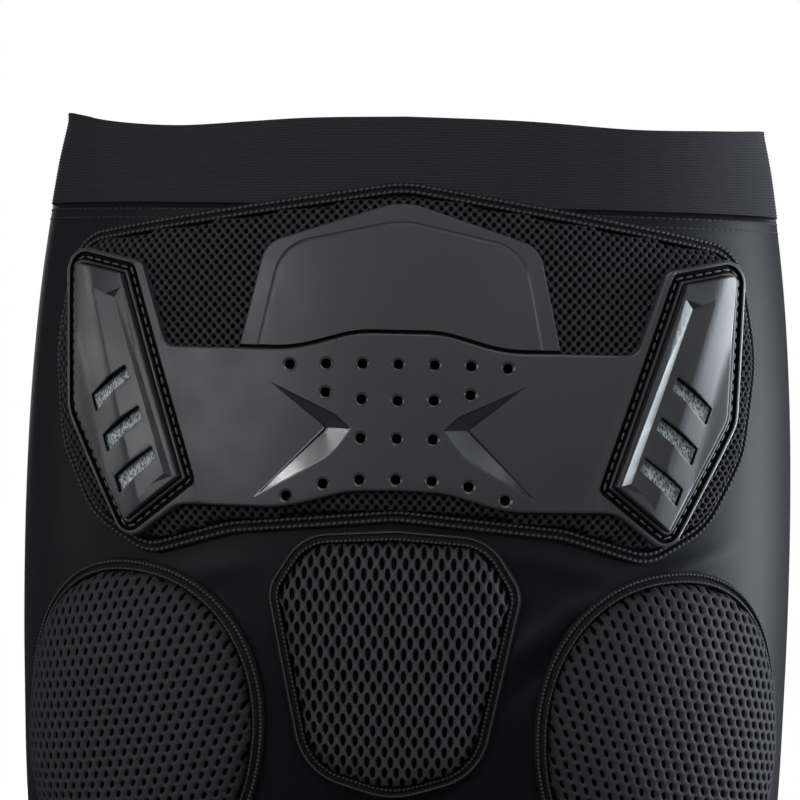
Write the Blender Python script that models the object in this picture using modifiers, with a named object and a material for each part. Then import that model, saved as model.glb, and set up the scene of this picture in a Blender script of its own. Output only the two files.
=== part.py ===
"""Padded hip shorts: a stretch short with foam pads on its back and a moulded guard on the lumbar pad.

Metres, +Z up. The wearer's back faces -Y and the waistline is at the origin.
Pads and plates are drawn flat, as across, up and out of the cloth, then sliced and wrapped on the form.
"""
import math
from collections import namedtuple

import bmesh
import bpy
import numpy as np
from mathutils import Vector

# Garment
HIP_WIDTH = 0.352
SEAT_DEPTH = 0.121
BELLY_DEPTH = 0.101
RISE = 0.2965
INSEAM = 0.152
BAND_HEIGHT = 0.038
BAND_THICKNESS = 0.002
BAND_WAVE = 0.0019
CLOTH_THICKNESS = 0.0015
LEG_SPREAD = 0.0875
CROTCH_DROP = 0.008

# Pads
LUMBAR_WIDTH = 0.330
LUMBAR_HEIGHT = 0.163
LUMBAR_TOP = -0.0085
LUMBAR_THICKNESS = 0.009
TAILBONE_WIDTH = 0.1096
TAILBONE_HEIGHT = 0.1175
TAILBONE_THICKNESS = 0.0095
SEAT_PAD_WIDTH = 0.127
SEAT_PAD_HEIGHT = 0.147
SEAT_PAD_THICKNESS = 0.010
SEAT_PAD_SPACING = 0.0015
PAD_SPACING = 0.0025
ROLL_WIDTH = 0.0036
ROLL_HEIGHT = 0.0034
ROLL_SEAM = 0.0011
LUMBAR_SHOULDER = 0.0018
TAILBONE_SHOULDER = 0.0054
SEAT_PAD_SHOULDER = 0.0072

# Moulded guard
GUARD_WIDTH = 0.295
GUARD_HEIGHT = 0.1278
GUARD_DROP = 0.0301
GUARD_THICKNESS = 0.004
EDGE_BEVEL = 0.0007
PLATE_WIDTH = 0.1384
PLATE_RISE = 0.056
PLATE_TUCK = 0.018
PLATE_THICKNESS = 0.0012
RIM_CHAMFER = 0.0005
FIELD_THICKNESS = 0.0022
FIELD_BEVEL = 0.0018
FIELD_MARGIN = 0.0082
HOLE_PITCH = 0.0149
HOLE_DIAMETER = 0.0042
HOLE_BEVEL = 0.0009
CHEVRON_DEPTH = 0.0021
GROOVE_WIDTH = 0.0024
GROOVE_DEPTH = 0.0014
SEAM_WIDTH = 0.0023
SEAM_THICKNESS = 0.0012
PANEL_STEP = 0.0008
PANEL_THICKNESS = 0.0046
PANEL_BEVEL = 0.0012
RECESS_DEPTH = 0.0024
RECESS_WIDTH = 0.0185
RECESS_WALL = 0.0042
RECESS_TOE = 0.0013
RECESS_RAKE = 0.0063
SLOT_LENGTH = 0.0199
SLOT_WIDTH = 0.0070
SLOT_PITCH = 0.0182
SLOT_COUNT = 3
SLOT_CLOTH_THICKNESS = 0.0010

# Clearance between neighbouring pieces, and the slices that let flat pieces bend
GAP = 0.0003
SLICE_ACROSS = 0.0145
SLICE_UP = 0.026
ARC_STEP = math.radians(30)
HALF_STEPS = 18
INNER_STEPS = 4
TORSO_ROWS = 6
LEG_ROWS = 5
HOLE_SIDES = 8
LEAST_RADIUS = 0.0004
WELD = 2e-6
ON_PLANE = 2e-5

# Levels that follow from the sizes
TOP_LEVEL = BAND_HEIGHT / 2
SEAM_LEVEL = -BAND_HEIGHT / 2
CROTCH_LEVEL = TOP_LEVEL - RISE
GUARD_LEVEL = LUMBAR_TOP - GUARD_DROP - GUARD_HEIGHT / 2
PAD_BASE = 2.5 * GAP
PLATE_BASE = PAD_BASE + LUMBAR_THICKNESS + GAP
GUARD_FACE = PLATE_BASE + GUARD_THICKNESS
FIELD_FACE = PLATE_BASE + FIELD_THICKNESS
PANEL_INSET = GROOVE_WIDTH + SEAM_WIDTH + PANEL_STEP

Section = namedtuple("Section", "drop half_width back front")
Corner = namedtuple("Corner", "across up radius")
Step = namedtuple("Step", "inset height")

# Torso, waist to past the crotch: drop is a share of RISE, the rest are shares of half HIP_WIDTH,
# SEAT_DEPTH and BELLY_DEPTH
TORSO = [
    Section(0.00, 0.906, 0.785, 0.94),
    Section(0.07, 0.930, 0.820, 0.96),
    Section(0.24, 0.969, 0.893, 0.99),
    Section(0.41, 0.991, 0.950, 1.00),
    Section(0.58, 1.000, 0.992, 1.00),
    Section(0.75, 1.000, 1.000, 0.98),
    Section(0.91, 0.994, 0.950, 0.96),
    Section(1.00, 0.989, 0.905, 0.94),
    Section(1.15, 0.975, 0.820, 0.91),
    Section(1.30, 0.958, 0.740, 0.88),
]

# Legs, crotch to hem: drop is a share of INSEAM, the rest are shares of the same three sizes
LEGS = [
    Section(0.0, 0.485, 0.905, 0.940),
    Section(0.3, 0.472, 0.845, 0.910),
    Section(0.6, 0.457, 0.785, 0.880),
    Section(1.0, 0.440, 0.715, 0.840),
]
TORSO_POWER = 2.35
LEG_POWER = 2.1
LEG_BLEND = 0.95
INNER_BLEND = 0.40
INNER_TURNS = 0.10
CROTCH_SOFTNESS = 3
CROTCH_EASE = 0.5
CROTCH_REACH = 0.035
INNER_ANGLE = math.radians(50)
WAVES_ROUND = 4

# Outlines of one half, as shares of half the width and of the height, and radii as shares of the height
LUMBAR_OUTLINE = [
    Corner(0.000, 0.000, 0.30),
    Corner(0.927, -0.154, 0.15),
    Corner(1.000, -0.450, 0.35),
    Corner(0.958, -0.710, 0.25),
    Corner(0.836, -0.906, 0.22),
    Corner(0.655, -1.000, 0.13),
    Corner(0.424, -0.930, 0.25),
    Corner(0.000, -0.889, 0.30),
]
TAILBONE_OUTLINE = [
    Corner(0.000, 0.000, 0.40),
    Corner(0.730, -0.022, 0.19),
    Corner(1.000, -0.225, 0.14),
    Corner(0.700, -0.900, 0.24),
    Corner(0.000, -1.000, 0.30),
]
GUARD_OUTLINE = [
    Corner(0.000, 0.230, 0.0),
    Corner(0.119, 0.230, 0.35),
    Corner(0.295, 0.171, 0.47),
    Corner(0.660, 0.176, 0.04),
    Corner(0.742, 0.438, 0.04),
    Corner(1.000, 0.500, 0.08),
    Corner(0.976, -0.066, 0.16),
    Corner(0.766, -0.500, 0.063),
    Corner(0.610, -0.355, 0.11),
    Corner(0.308, -0.355, 0.47),
    Corner(0.136, -0.296, 0.35),
    Corner(0.000, -0.291, 0.0),
]
# The roll round a pad, by shares of ROLL_WIDTH and ROLL_HEIGHT
ROLL_PROFILE = [
    Step(0.0, 0.0),
    Step(0.0, 0.55),
    Step(0.5, 1.0),
    Step(1.0, 0.75),
]
# The panel seat, right side, by the guard's own shares
SEAT_OUTLINE = [
    Corner(0.763, 0.426, 0.031),
    Corner(0.986, 0.480, 0.063),
    Corner(0.963, -0.062, 0.14),
    Corner(0.765, -0.478, 0.047),
    Corner(0.559, -0.286, 0.031),
]
PLATE_OUTLINE = [
    Corner(0.000, 0.000, 0.40),
    Corner(0.824, -0.255, 0.16),
    Corner(1.000, -1.000, 0.03),
]
FIELD_OUTLINE = [
    Corner(0.000, 0.000, 0.55),
    Corner(0.830, -0.180, 0.30),
    Corner(1.000, -1.000, 0.02),
]

# Hole rows: count of holes, level as a share of GUARD_HEIGHT, sag of the outer hole as a share of HOLE_PITCH
HoleRow = namedtuple("HoleRow", "count up sag")
HOLE_ROWS = [
    HoleRow(7, 0.128, 0.07),
    HoleRow(5, 0.011, -0.20),
    HoleRow(3, -0.115, 0.00),
    HoleRow(7, -0.249, 0.54),
]

# Chevron on one side, by the guard's own shares: the inner elbow, then the outer edge from tip to tip
CHEVRON_ELBOW = (0.204, -0.083)
CHEVRON_EDGE = [(0.354, 0.057), (0.170, -0.045), (0.131, -0.083), (0.185, -0.180), (0.392, -0.318)]

# A sloping floor runs out above the face by this share of its depth
RUN_OUT = 0.06

# Slots and recess of the right panel, by the guard's own shares
SLOT_START = (0.757, 0.107)
SLOT_ANGLE = math.radians(-38.3)
SLOT_SIDE_ANGLE = math.radians(-110.5)
SLOT_FLARE = 0.10
SLOT_CORNER = 0.08
RECESS_TOP = (0.786, 0.360)
RECESS_BOTTOM = (0.614, -0.272)

# Seat pads: side, space to the tailbone pad as a share of SEAT_PAD_WIDTH, and the degrees that the top
# turns to the right
SeatPad = namedtuple("SeatPad", "name side aside turn")
SEAT_PADS = [
    SeatPad("seat_pad_left", -1, 0.000, 7.0),
    SeatPad("seat_pad_right", 1, 0.045, -3.0),
]
SEAT_PAD_POWER = 2.15
SEAT_PAD_SIDES = 24

COLOURS = {
    "elastic": (0.020, 0.018, 0.022, 0.75, 0.0),
    "body_fabric": (0.010, 0.009, 0.012, 0.70, 0.0),
    "mesh": (0.030, 0.029, 0.034, 0.80, 0.0),
    "plate_plastic": (0.060, 0.060, 0.072, 0.45, 0.0),
    "panel_plastic": (0.070, 0.070, 0.085, 0.35, 0.0),
    "slot_cloth": (0.300, 0.340, 0.360, 0.55, 0.0),
}


def smooth_table(rows, drop):
    """The row at a drop, by a smooth curve through the table's rows."""
    knots = [row[0] for row in rows]
    drop = min(max(drop, knots[0]), knots[-1])
    right = min(max(int(np.searchsorted(knots, drop)), 1), len(rows) - 1)
    left = right - 1
    span = knots[right] - knots[left]
    t = (drop - knots[left]) / span
    values = []
    for column in range(1, len(rows[0])):
        def slope(index):
            low, high = max(index - 1, 0), min(index + 1, len(rows) - 1)
            return (rows[high][column] - rows[low][column]) / (knots[high] - knots[low])
        a, b = rows[left][column], rows[right][column]
        ta, tb = slope(left) * span, slope(right) * span
        values.append(a * (1 + 2 * t) * (1 - t) ** 2 + ta * t * (1 - t) ** 2
                      + b * t * t * (3 - 2 * t) + tb * t * t * (t - 1))
    return values


def power(value, exponent):
    return np.sign(value) * np.abs(value) ** (2 / exponent)


def torso_half(level, turns):
    """Points of the right half of the torso's section, turns from 0 at the back to 1 at the front."""
    half_width, back, front = smooth_table(TORSO, (TOP_LEVEL - level) / RISE)
    angle = np.pi * np.asarray(turns)
    x = HIP_WIDTH / 2 * half_width * power(np.sin(angle), TORSO_POWER)
    cosine = power(np.cos(angle), TORSO_POWER)
    y = np.where(cosine > 0, -SEAT_DEPTH * back * cosine, -BELLY_DEPTH * front * cosine)
    return x, y


def leg_points(level, angles):
    """Points of the right leg's oval at angles measured from its outer side, negative at the back."""
    half_width, back, front = smooth_table(LEGS, (CROTCH_LEVEL - level) / INSEAM)
    x = LEG_SPREAD + HIP_WIDTH / 2 * half_width * power(np.cos(angles), LEG_POWER)
    sine = power(np.sin(angles), LEG_POWER)
    y = np.where(sine < 0, SEAT_DEPTH * back * sine, BELLY_DEPTH * front * sine)
    return x, y


def smooth(t):
    t = np.clip(t, 0.0, 1.0)
    return t * t * (3 - 2 * t)


def leg_blend(level, turns):
    """0 where the leg still has the torso's section, 1 where it is an oval: sooner on its inner side."""
    to_end = np.minimum(turns, 1 - turns)
    reach = INNER_BLEND + (LEG_BLEND - INNER_BLEND) * smooth(to_end / INNER_TURNS)
    return smooth((CROTCH_LEVEL - level) / (INSEAM * reach))


def half_section(level, turns):
    """The outer line of the right half of the form at a level, from the back to the front."""
    turns = np.asarray(turns)
    x, y = torso_half(level, turns)
    if level < CROTCH_LEVEL:
        blend = leg_blend(level, turns)
        lx, ly = leg_points(level, (math.pi - INNER_ANGLE) * (2 * turns - 1))
        x, y = x + (lx - x) * blend, y + (ly - y) * blend
    return x, y


def arc_lengths(x, y):
    return np.concatenate([[0.0], np.cumsum(np.hypot(np.diff(x), np.diff(y)))])


FINE_TURNS = np.linspace(0, 1, 241)
MIDDLE = len(FINE_TURNS) // 2


def even_turns(steps):
    """Turns that part the half section into even lengths, just above the crotch."""
    lengths = arc_lengths(*half_section(CROTCH_LEVEL, FINE_TURNS))
    return np.interp(np.linspace(0, lengths[-1], steps + 1), lengths, FINE_TURNS)


def side_length(level):
    x, y = half_section(level, FINE_TURNS)
    return arc_lengths(x, y)[MIDDLE]


def on_form(across, level):
    """The point of the form at a length across from the middle of the back, and a level."""
    x, y = half_section(level, FINE_TURNS)
    lengths = arc_lengths(x, y)
    if level < CROTCH_LEVEL:
        lengths = lengths + side_length(CROTCH_LEVEL) - lengths[MIDDLE]
    side = math.copysign(1.0, across)
    return Vector((side * np.interp(abs(across), lengths, x), np.interp(abs(across), lengths, y), level))


def wrap_point(across, level, out):
    """A point of a flat piece, laid on the form and lifted off it by out."""
    reach = 0.001
    base = on_form(across, level)
    along = on_form(across + reach, level) - on_form(across - reach, level)
    up = on_form(across, level + reach) - on_form(across, level - reach)
    return base + along.cross(up).normalized() * out


def mirrored(corners):
    """The whole outline, clockwise, from the corners of its right half."""
    left = [Corner(-c.across, c.up, c.radius) for c in reversed(corners) if c.across > 0]
    return corners + left


def scaled(corners, half_width, height, level=0.0):
    return [Corner(c.across * half_width, c.up * height + level, c.radius * height) for c in corners]


def grown(corners, distance):
    """A clockwise outline with each side moved out by a distance."""
    result = []
    for index, corner in enumerate(corners):
        here = Vector((corner.across, corner.up))
        before = Vector(corners[index - 1][:2])
        after = Vector(corners[(index + 1) % len(corners)][:2])
        arrive, leave = (here - before).normalized(), (after - here).normalized()
        out_a, out_b = Vector((-arrive.y, arrive.x)), Vector((-leave.y, leave.x))
        turn = arrive.cross(leave)
        if abs(turn) < 1e-6:
            point = here + out_a * distance
        else:
            middle = (out_a + out_b).normalized()
            point = here + middle * (distance / middle.dot(out_a))
        radius = corner.radius + (distance if turn < 0 else -distance)
        result.append(Corner(point.x, point.y, max(radius, LEAST_RADIUS) if corner.radius > 0 else 0.0))
    return result


def rounded(corners):
    """The outline's points, with each corner turned into an arc."""
    points = []
    for index, corner in enumerate(corners):
        here = Vector((corner.across, corner.up))
        before = Vector(corners[index - 1][:2])
        after = Vector(corners[(index + 1) % len(corners)][:2])
        arrive, leave = (here - before).normalized(), (after - here).normalized()
        turn = math.acos(min(max(arrive.dot(leave), -1), 1))
        steps = max(round(turn / ARC_STEP), 1)
        if corner.radius == 0 or turn < 0.01:
            points.append(here)
            continue
        tangent = corner.radius * math.tan(turn / 2)
        start = here - arrive * tangent
        sign = math.copysign(1.0, arrive.cross(leave))
        centre = start + Vector((-arrive.y, arrive.x)) * corner.radius * sign
        spoke = start - centre
        for step in range(steps + 1):
            angle = sign * turn * step / steps
            cosine, sine = math.cos(angle), math.sin(angle)
            arm = Vector((spoke.x * cosine - spoke.y * sine, spoke.x * sine + spoke.y * cosine))
            points.append(centre + arm)
    return points


def is_clockwise(ring):
    area = sum(a[0] * b[1] - b[0] * a[1] for a, b in zip(ring, list(ring[1:]) + [ring[0]]))
    return area < 0


def rings_mesh(name, rings, fans=False):
    """A closed mesh through flat rings of equal count, from the bottom to the top.

    An end that isn't plane is closed with a fan round its first point."""
    if not is_clockwise(rings[0]):
        rings = [[ring[0]] + list(reversed(ring[1:])) for ring in rings]
    work = bmesh.new()
    rows = [[work.verts.new(point) for point in ring] for ring in rings]
    count = len(rows[0])
    if fans:
        for index in range(1, count - 1):
            work.faces.new((rows[0][0], rows[0][index], rows[0][index + 1]))
            work.faces.new((rows[-1][0], rows[-1][index + 1], rows[-1][index]))
    else:
        work.faces.new(rows[0])
        work.faces.new(list(reversed(rows[-1])))
    for low, high in zip(rows, rows[1:]):
        for index in range(count):
            after = (index + 1) % count
            work.faces.new((low[index], high[index], high[after], low[after]))
    mesh = bpy.data.meshes.new(name)
    work.to_mesh(mesh)
    work.free()
    return mesh


def flat_piece(name, corners, steps, base):
    """A flat piece whose outline steps in as it rises: steps of inset and height above the base."""
    rings = []
    for step in steps:
        outline = rounded(grown(corners, -step.inset))
        rings.append([(p.x, p.y, base + step.height) for p in outline])
    return rings_mesh(name, rings)


def flat_loft(name, low, high):
    """A closed mesh of plane triangles between two polygons of equal count, each point across, up and out."""
    mesh = rings_mesh(name, [low, high], fans=True)
    work = bmesh.new()
    work.from_mesh(mesh)
    bmesh.ops.triangulate(work, faces=work.faces[:])
    work.to_mesh(mesh)
    work.free()
    return mesh


def make_collection(name):
    collection = bpy.data.collections.new(name)
    bpy.context.scene.collection.children.link(collection)
    return collection


def make_material(name):
    material = bpy.data.materials.new(name)
    material.use_nodes = True
    red, green, blue, roughness, metallic = COLOURS[name]
    shader = material.node_tree.nodes["Principled BSDF"]
    shader.inputs["Base Color"].default_value = (red, green, blue, 1.0)
    shader.inputs["Roughness"].default_value = roughness
    shader.inputs["Metallic"].default_value = metallic
    material.diffuse_color = (red, green, blue, 1.0)
    return material


def make_cutter(mesh):
    cutter = bpy.data.objects.new(mesh.name, mesh)
    cutters.objects.link(cutter)
    cutter.hide_render = True
    cutter.display_type = "WIRE"
    return cutter


def carved(mesh, joined=(), cut=()):
    """The flat mesh with some flat meshes joined to it and others cut from it."""
    blank = bpy.data.objects.new(mesh.name + "_blank", mesh)
    cutters.objects.link(blank)
    blank.hide_render = True
    blank.display_type = "WIRE"
    for operation, tools in (("UNION", joined), ("DIFFERENCE", cut)):
        for tool in tools:
            modifier = blank.modifiers.new(tool.name, "BOOLEAN")
            modifier.operation = operation
            modifier.solver = "EXACT"
            modifier.object = make_cutter(tool)
    bpy.context.view_layer.update()
    depsgraph = bpy.context.evaluated_depsgraph_get()
    return bpy.data.meshes.new_from_object(blank.evaluated_get(depsgraph))


def slice_mesh(work, axis, pitch):
    """Cuts the mesh across at each multiple of the pitch, so that it can bend there."""
    values = [vertex.co[axis] for vertex in work.verts]
    normal = Vector((0, 0, 0))
    normal[axis] = 1
    for index in range(math.ceil(min(values) / pitch), math.floor(max(values) / pitch) + 1):
        everything = work.verts[:] + work.edges[:] + work.faces[:]
        bmesh.ops.bisect_plane(work, geom=everything, dist=ON_PLANE, plane_co=normal * index * pitch,
                               plane_no=normal)


def wrapped_piece(name, mesh, material):
    """Slices a flat mesh, bends it round the form and adds it to the garment."""
    work = bmesh.new()
    work.from_mesh(mesh)
    bmesh.ops.remove_doubles(work, verts=work.verts[:], dist=WELD)
    slice_mesh(work, 0, SLICE_ACROSS)
    slice_mesh(work, 1, SLICE_UP)
    bmesh.ops.triangulate(work, faces=work.faces[:])
    for vertex in work.verts:
        vertex.co = wrap_point(*vertex.co)
    bent = bpy.data.meshes.new(name)
    work.to_mesh(bent)
    work.free()
    return add_part(name, bent, material)


def add_part(name, mesh, material):
    mesh.materials.clear()
    mesh.materials.append(materials[material])
    mesh.shade_smooth()
    mesh.set_sharp_from_angle(angle=math.radians(30))
    part = bpy.data.objects.new(name, mesh)
    garment.objects.link(part)
    return part


def loop_sheet(name, rows, faces):
    mesh = bpy.data.meshes.new(name)
    mesh.from_pydata(rows, [], faces)
    mesh.update()
    return mesh


def thicken(part, thickness):
    """Gives the sheet its wall, inward from the form."""
    modifier = part.modifiers.new("wall", "SOLIDIFY")
    modifier.thickness = thickness
    modifier.offset = -1
    modifier.use_even_offset = True


def girth_points(level):
    """The whole torso section at a level: right half from the back to the front, then the left half back."""
    x, y = half_section(level, even_turns(HALF_STEPS))
    right = list(zip(x, y))
    left = [(-a, b) for a, b in reversed(right[1:-1])]
    return [(a, b, level) for a, b in right + left]


def build_waistband():
    """The elastic band, whose top edge waves a little round the waist."""
    rows = []
    count = 2 * HALF_STEPS
    for share in (0.0, 0.5, 1.0):
        ring = girth_points(SEAM_LEVEL + GAP)
        for index in range(count):
            wave = BAND_WAVE * math.cos(2 * math.pi * WAVES_ROUND * index / count)
            level = SEAM_LEVEL + GAP + (TOP_LEVEL + wave - SEAM_LEVEL - GAP) * share
            ring[index] = girth_points(level)[index]
        rows.extend(ring)
    faces = []
    for row in range(2):
        for index in range(count):
            after = (index + 1) % count
            low, high = row * count, (row + 1) * count
            faces.append((low + index, low + after, high + after, high + index))
    band = add_part("waistband", loop_sheet("waistband", rows, faces), "elastic")
    thicken(band, BAND_THICKNESS)


def soften_crotch(sheet):
    """Rounds the inside of the legs, near the middle and above the hems."""
    work = bmesh.new()
    work.from_mesh(sheet)
    inner = [v for v in work.verts if abs(v.co.x) < CROTCH_REACH and not v.is_boundary
             and v.co.z < CROTCH_LEVEL + CROTCH_REACH]
    for _ in range(CROTCH_SOFTNESS):
        bmesh.ops.smooth_vert(work, verts=inner, factor=CROTCH_EASE, use_axis_x=True, use_axis_y=True,
                              use_axis_z=True)
    work.to_mesh(sheet)
    work.free()


def build_body():
    """The short: torso rows, a crotch line, then two legs that share it."""
    count = 2 * HALF_STEPS
    points, faces = [], []
    for row in range(TORSO_ROWS + 1):
        points += girth_points(SEAM_LEVEL + (CROTCH_LEVEL - SEAM_LEVEL) * row / TORSO_ROWS)
    for row in range(TORSO_ROWS):
        for index in range(count):
            after = (index + 1) % count
            high, low = row * count, (row + 1) * count
            faces.append((low + index, low + after, high + after, high + index))
    crotch = TORSO_ROWS * count
    front, back = Vector(points[crotch + HALF_STEPS]), Vector(points[crotch])
    line = []
    for step in range(1, INNER_STEPS + 1):
        share = step / (INNER_STEPS + 1)
        dip = CROTCH_DROP * math.sin(math.pi * share)
        line.append(len(points))
        points.append(tuple(front.lerp(back, share) - Vector((0, 0, dip))))
    inner_angles = [math.pi - INNER_ANGLE + 2 * INNER_ANGLE * step / (INNER_STEPS + 1)
                    for step in range(1, INNER_STEPS + 1)]
    for side in (1, -1):
        outer = [crotch + (side * index) % count for index in range(HALF_STEPS + 1)]
        above = outer + line
        for row in range(1, LEG_ROWS + 1):
            share = row / LEG_ROWS
            level = CROTCH_LEVEL - INSEAM * share
            x, y = half_section(level, even_turns(HALF_STEPS))
            ring = [(a, b, level) for a, b in zip(x, y)]
            ix, iy = leg_points(level, np.array(inner_angles))
            blend = float(leg_blend(level, 0.0))
            for step, (a, b) in enumerate(zip(ix, iy), start=1):
                flat = Vector(ring[HALF_STEPS]).lerp(Vector(ring[0]), step / (INNER_STEPS + 1))
                dip = CROTCH_DROP * math.sin(math.pi * step / (INNER_STEPS + 1)) * (1 - share)
                ring.append(tuple(flat.lerp(Vector((a, b, level)), blend) - Vector((0, 0, dip))))
            below = [len(points) + index for index in range(len(ring))]
            points += [(side * a, b, c) for a, b, c in ring]
            for index in range(len(ring)):
                after = (index + 1) % len(ring)
                face = (below[index], below[after], above[after], above[index])
                faces.append(face if side > 0 else face[::-1])
            above = below
    sheet = loop_sheet("shorts_body", points, faces)
    soften_crotch(sheet)
    body = add_part("shorts_body", sheet, "body_fabric")
    thicken(body, CLOTH_THICKNESS)


def pad_steps(thickness, shoulder):
    """A pad's edge: a sewn roll, a seam, then a shoulder up to its flat."""
    rolled = [Step(share.inset * ROLL_WIDTH, share.height * ROLL_HEIGHT) for share in ROLL_PROFILE]
    inside = ROLL_WIDTH + ROLL_SEAM
    return rolled + [Step(inside, (ROLL_HEIGHT + thickness) / 2), Step(inside + shoulder, thickness)]


def upright(height):
    """A plain edge, straight up."""
    return [Step(0, 0), Step(0, height)]


def chamfered(height, chamfer):
    """An edge that goes straight up and ends in a chamfer."""
    return [Step(0, 0), Step(0, height - chamfer), Step(chamfer, height)]


def lumbar_corners():
    return scaled(mirrored(LUMBAR_OUTLINE), LUMBAR_WIDTH / 2, LUMBAR_HEIGHT, LUMBAR_TOP)


def build_lumbar_pad():
    mesh = flat_piece("lumbar_pad", lumbar_corners(), pad_steps(LUMBAR_THICKNESS, LUMBAR_SHOULDER), PAD_BASE)
    wrapped_piece("lumbar_pad", mesh, "mesh")


def build_tailbone_pad():
    top = LUMBAR_TOP + LUMBAR_OUTLINE[-1].up * LUMBAR_HEIGHT - PAD_SPACING
    corners = scaled(mirrored(TAILBONE_OUTLINE), TAILBONE_WIDTH / 2, TAILBONE_HEIGHT, top)
    mesh = flat_piece("tailbone_pad", corners, pad_steps(TAILBONE_THICKNESS, TAILBONE_SHOULDER), PAD_BASE)
    wrapped_piece("tailbone_pad", mesh, "mesh")


def build_seat_pad(pad):
    """An oval pad, its top turned a little towards the middle."""
    turn = -math.radians(pad.turn)
    across = TAILBONE_WIDTH / 2 + SEAT_PAD_WIDTH * (0.5 + pad.aside)
    top = LUMBAR_TOP - LUMBAR_HEIGHT - SEAT_PAD_SPACING
    centre = Vector((pad.side * across, top - SEAT_PAD_HEIGHT / 2))
    rings = []
    for step in pad_steps(SEAT_PAD_THICKNESS, SEAT_PAD_SHOULDER):
        ring = []
        for side in range(SEAT_PAD_SIDES):
            angle = -2 * math.pi * side / SEAT_PAD_SIDES
            x = (SEAT_PAD_WIDTH / 2 - step.inset) * float(power(math.cos(angle), SEAT_PAD_POWER))
            y = (SEAT_PAD_HEIGHT / 2 - step.inset) * float(power(math.sin(angle), SEAT_PAD_POWER))
            ring.append((centre.x + x * math.cos(turn) - y * math.sin(turn),
                         centre.y + x * math.sin(turn) + y * math.cos(turn), PAD_BASE + step.height))
        rings.append(ring)
    wrapped_piece(pad.name, rings_mesh(pad.name, rings), "mesh")


def guard_point(share, out, side=1):
    """A flat point of the guard from its shares, on the right side or mirrored."""
    return (side * share[0] * GUARD_WIDTH / 2, share[1] * GUARD_HEIGHT + GUARD_LEVEL, out)


def guard_corners(outline):
    return scaled(outline, GUARD_WIDTH / 2, GUARD_HEIGHT, GUARD_LEVEL)


def facing_side(corners, side):
    """The right side's outline as it is, or mirrored and still clockwise."""
    if side > 0:
        return corners
    return [Corner(-c.across, c.up, c.radius) for c in reversed(corners)]


def band_top_level():
    return GUARD_OUTLINE[0].up * GUARD_HEIGHT + GUARD_LEVEL


def plate_corners():
    height = PLATE_RISE + PLATE_TUCK
    return scaled(mirrored(PLATE_OUTLINE), PLATE_WIDTH / 2, height, band_top_level() + PLATE_RISE)


def field_corners():
    height = PLATE_RISE + PLATE_TUCK - 1.5 * FIELD_MARGIN
    top = band_top_level() + PLATE_RISE - FIELD_MARGIN
    return scaled(mirrored(FIELD_OUTLINE), PLATE_WIDTH / 2 - FIELD_MARGIN, height, top)


def hole_places(rows):
    """Centres of the band's holes, the rows curved like the band."""
    places = []
    for row in rows:
        half = (row.count - 1) / 2
        for index in range(row.count):
            step = index - half
            sag = row.sag * HOLE_PITCH * (step / half) ** 2
            places.append((step * HOLE_PITCH, row.up * GUARD_HEIGHT + GUARD_LEVEL - sag))
    return places


def hole_cutter(name, across, level):
    """A round hole, flared where it meets the band's face."""
    radius = HOLE_DIAMETER / 2
    profile = [(radius, PLATE_BASE - GUARD_THICKNESS), (radius, GUARD_FACE - HOLE_BEVEL),
               (radius + 2 * HOLE_BEVEL, GUARD_FACE + HOLE_BEVEL)]
    rings = []
    for ring_radius, out in profile:
        ring = []
        for side in range(HOLE_SIDES):
            angle = -2 * math.pi * (side + 0.5) / HOLE_SIDES
            ring.append((across + ring_radius * math.cos(angle), level + ring_radius * math.sin(angle), out))
        rings.append(ring)
    return rings_mesh(name, rings)


def chevron_cutter(side):
    """A bent wedge: its floor falls from the outer edge of both arms to the inner elbow."""
    above = GUARD_FACE + GUARD_THICKNESS
    skim = GUARD_FACE + CHEVRON_DEPTH * RUN_OUT
    low = [guard_point(CHEVRON_ELBOW, GUARD_FACE - CHEVRON_DEPTH, side)]
    low += [guard_point(share, skim, side) for share in CHEVRON_EDGE]
    high = [(x, y, above) for x, y, out in low]
    return flat_loft("chevron", low, high)


def groove_cutter(side):
    """A ring cut round the panel seat, open to the outer face."""
    seat = facing_side(guard_corners(SEAT_OUTLINE), side)
    floor = GUARD_FACE - GROOVE_DEPTH
    above = GUARD_FACE + GUARD_THICKNESS
    outer = flat_loft("groove", *[[(p.x, p.y, out) for p in rounded(seat)] for out in (floor, above)])
    core = rounded(grown(seat, -GROOVE_WIDTH))
    inner = flat_loft("groove_core", *[[(p.x, p.y, out) for p in core]
                                       for out in (floor - GROOVE_DEPTH / 2, above + GROOVE_DEPTH)])
    return carved(outer, cut=[inner])


def window_cutter(side):
    """The pocket under the panel that holds the slot cloth."""
    seat = facing_side(guard_corners(SEAT_OUTLINE), side)
    return flat_piece("window", grown(seat, -PANEL_INSET), upright(3 * GUARD_THICKNESS),
                      PLATE_BASE - GUARD_THICKNESS)


def build_hip_band():
    """The cross band with its two flanges, bored, and recessed for the plate that tucks under it."""
    blank = flat_piece("hip_band", guard_corners(mirrored(GUARD_OUTLINE)),
                       chamfered(GUARD_THICKNESS, EDGE_BEVEL), PLATE_BASE)
    below = PLATE_BASE - GUARD_THICKNESS
    cuts = [flat_piece("rebate", grown(plate_corners(), 2 * GAP), upright(FIELD_FACE + GAP - below), below)]
    for across, level in hole_places(HOLE_ROWS):
        cuts.append(hole_cutter("hole", across, level))
    for side in (1, -1):
        cuts.append(chevron_cutter(side))
        cuts.append(groove_cutter(side))
        cuts.append(window_cutter(side))
    wrapped_piece("hip_band", carved(blank, cut=cuts), "plate_plastic")


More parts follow.
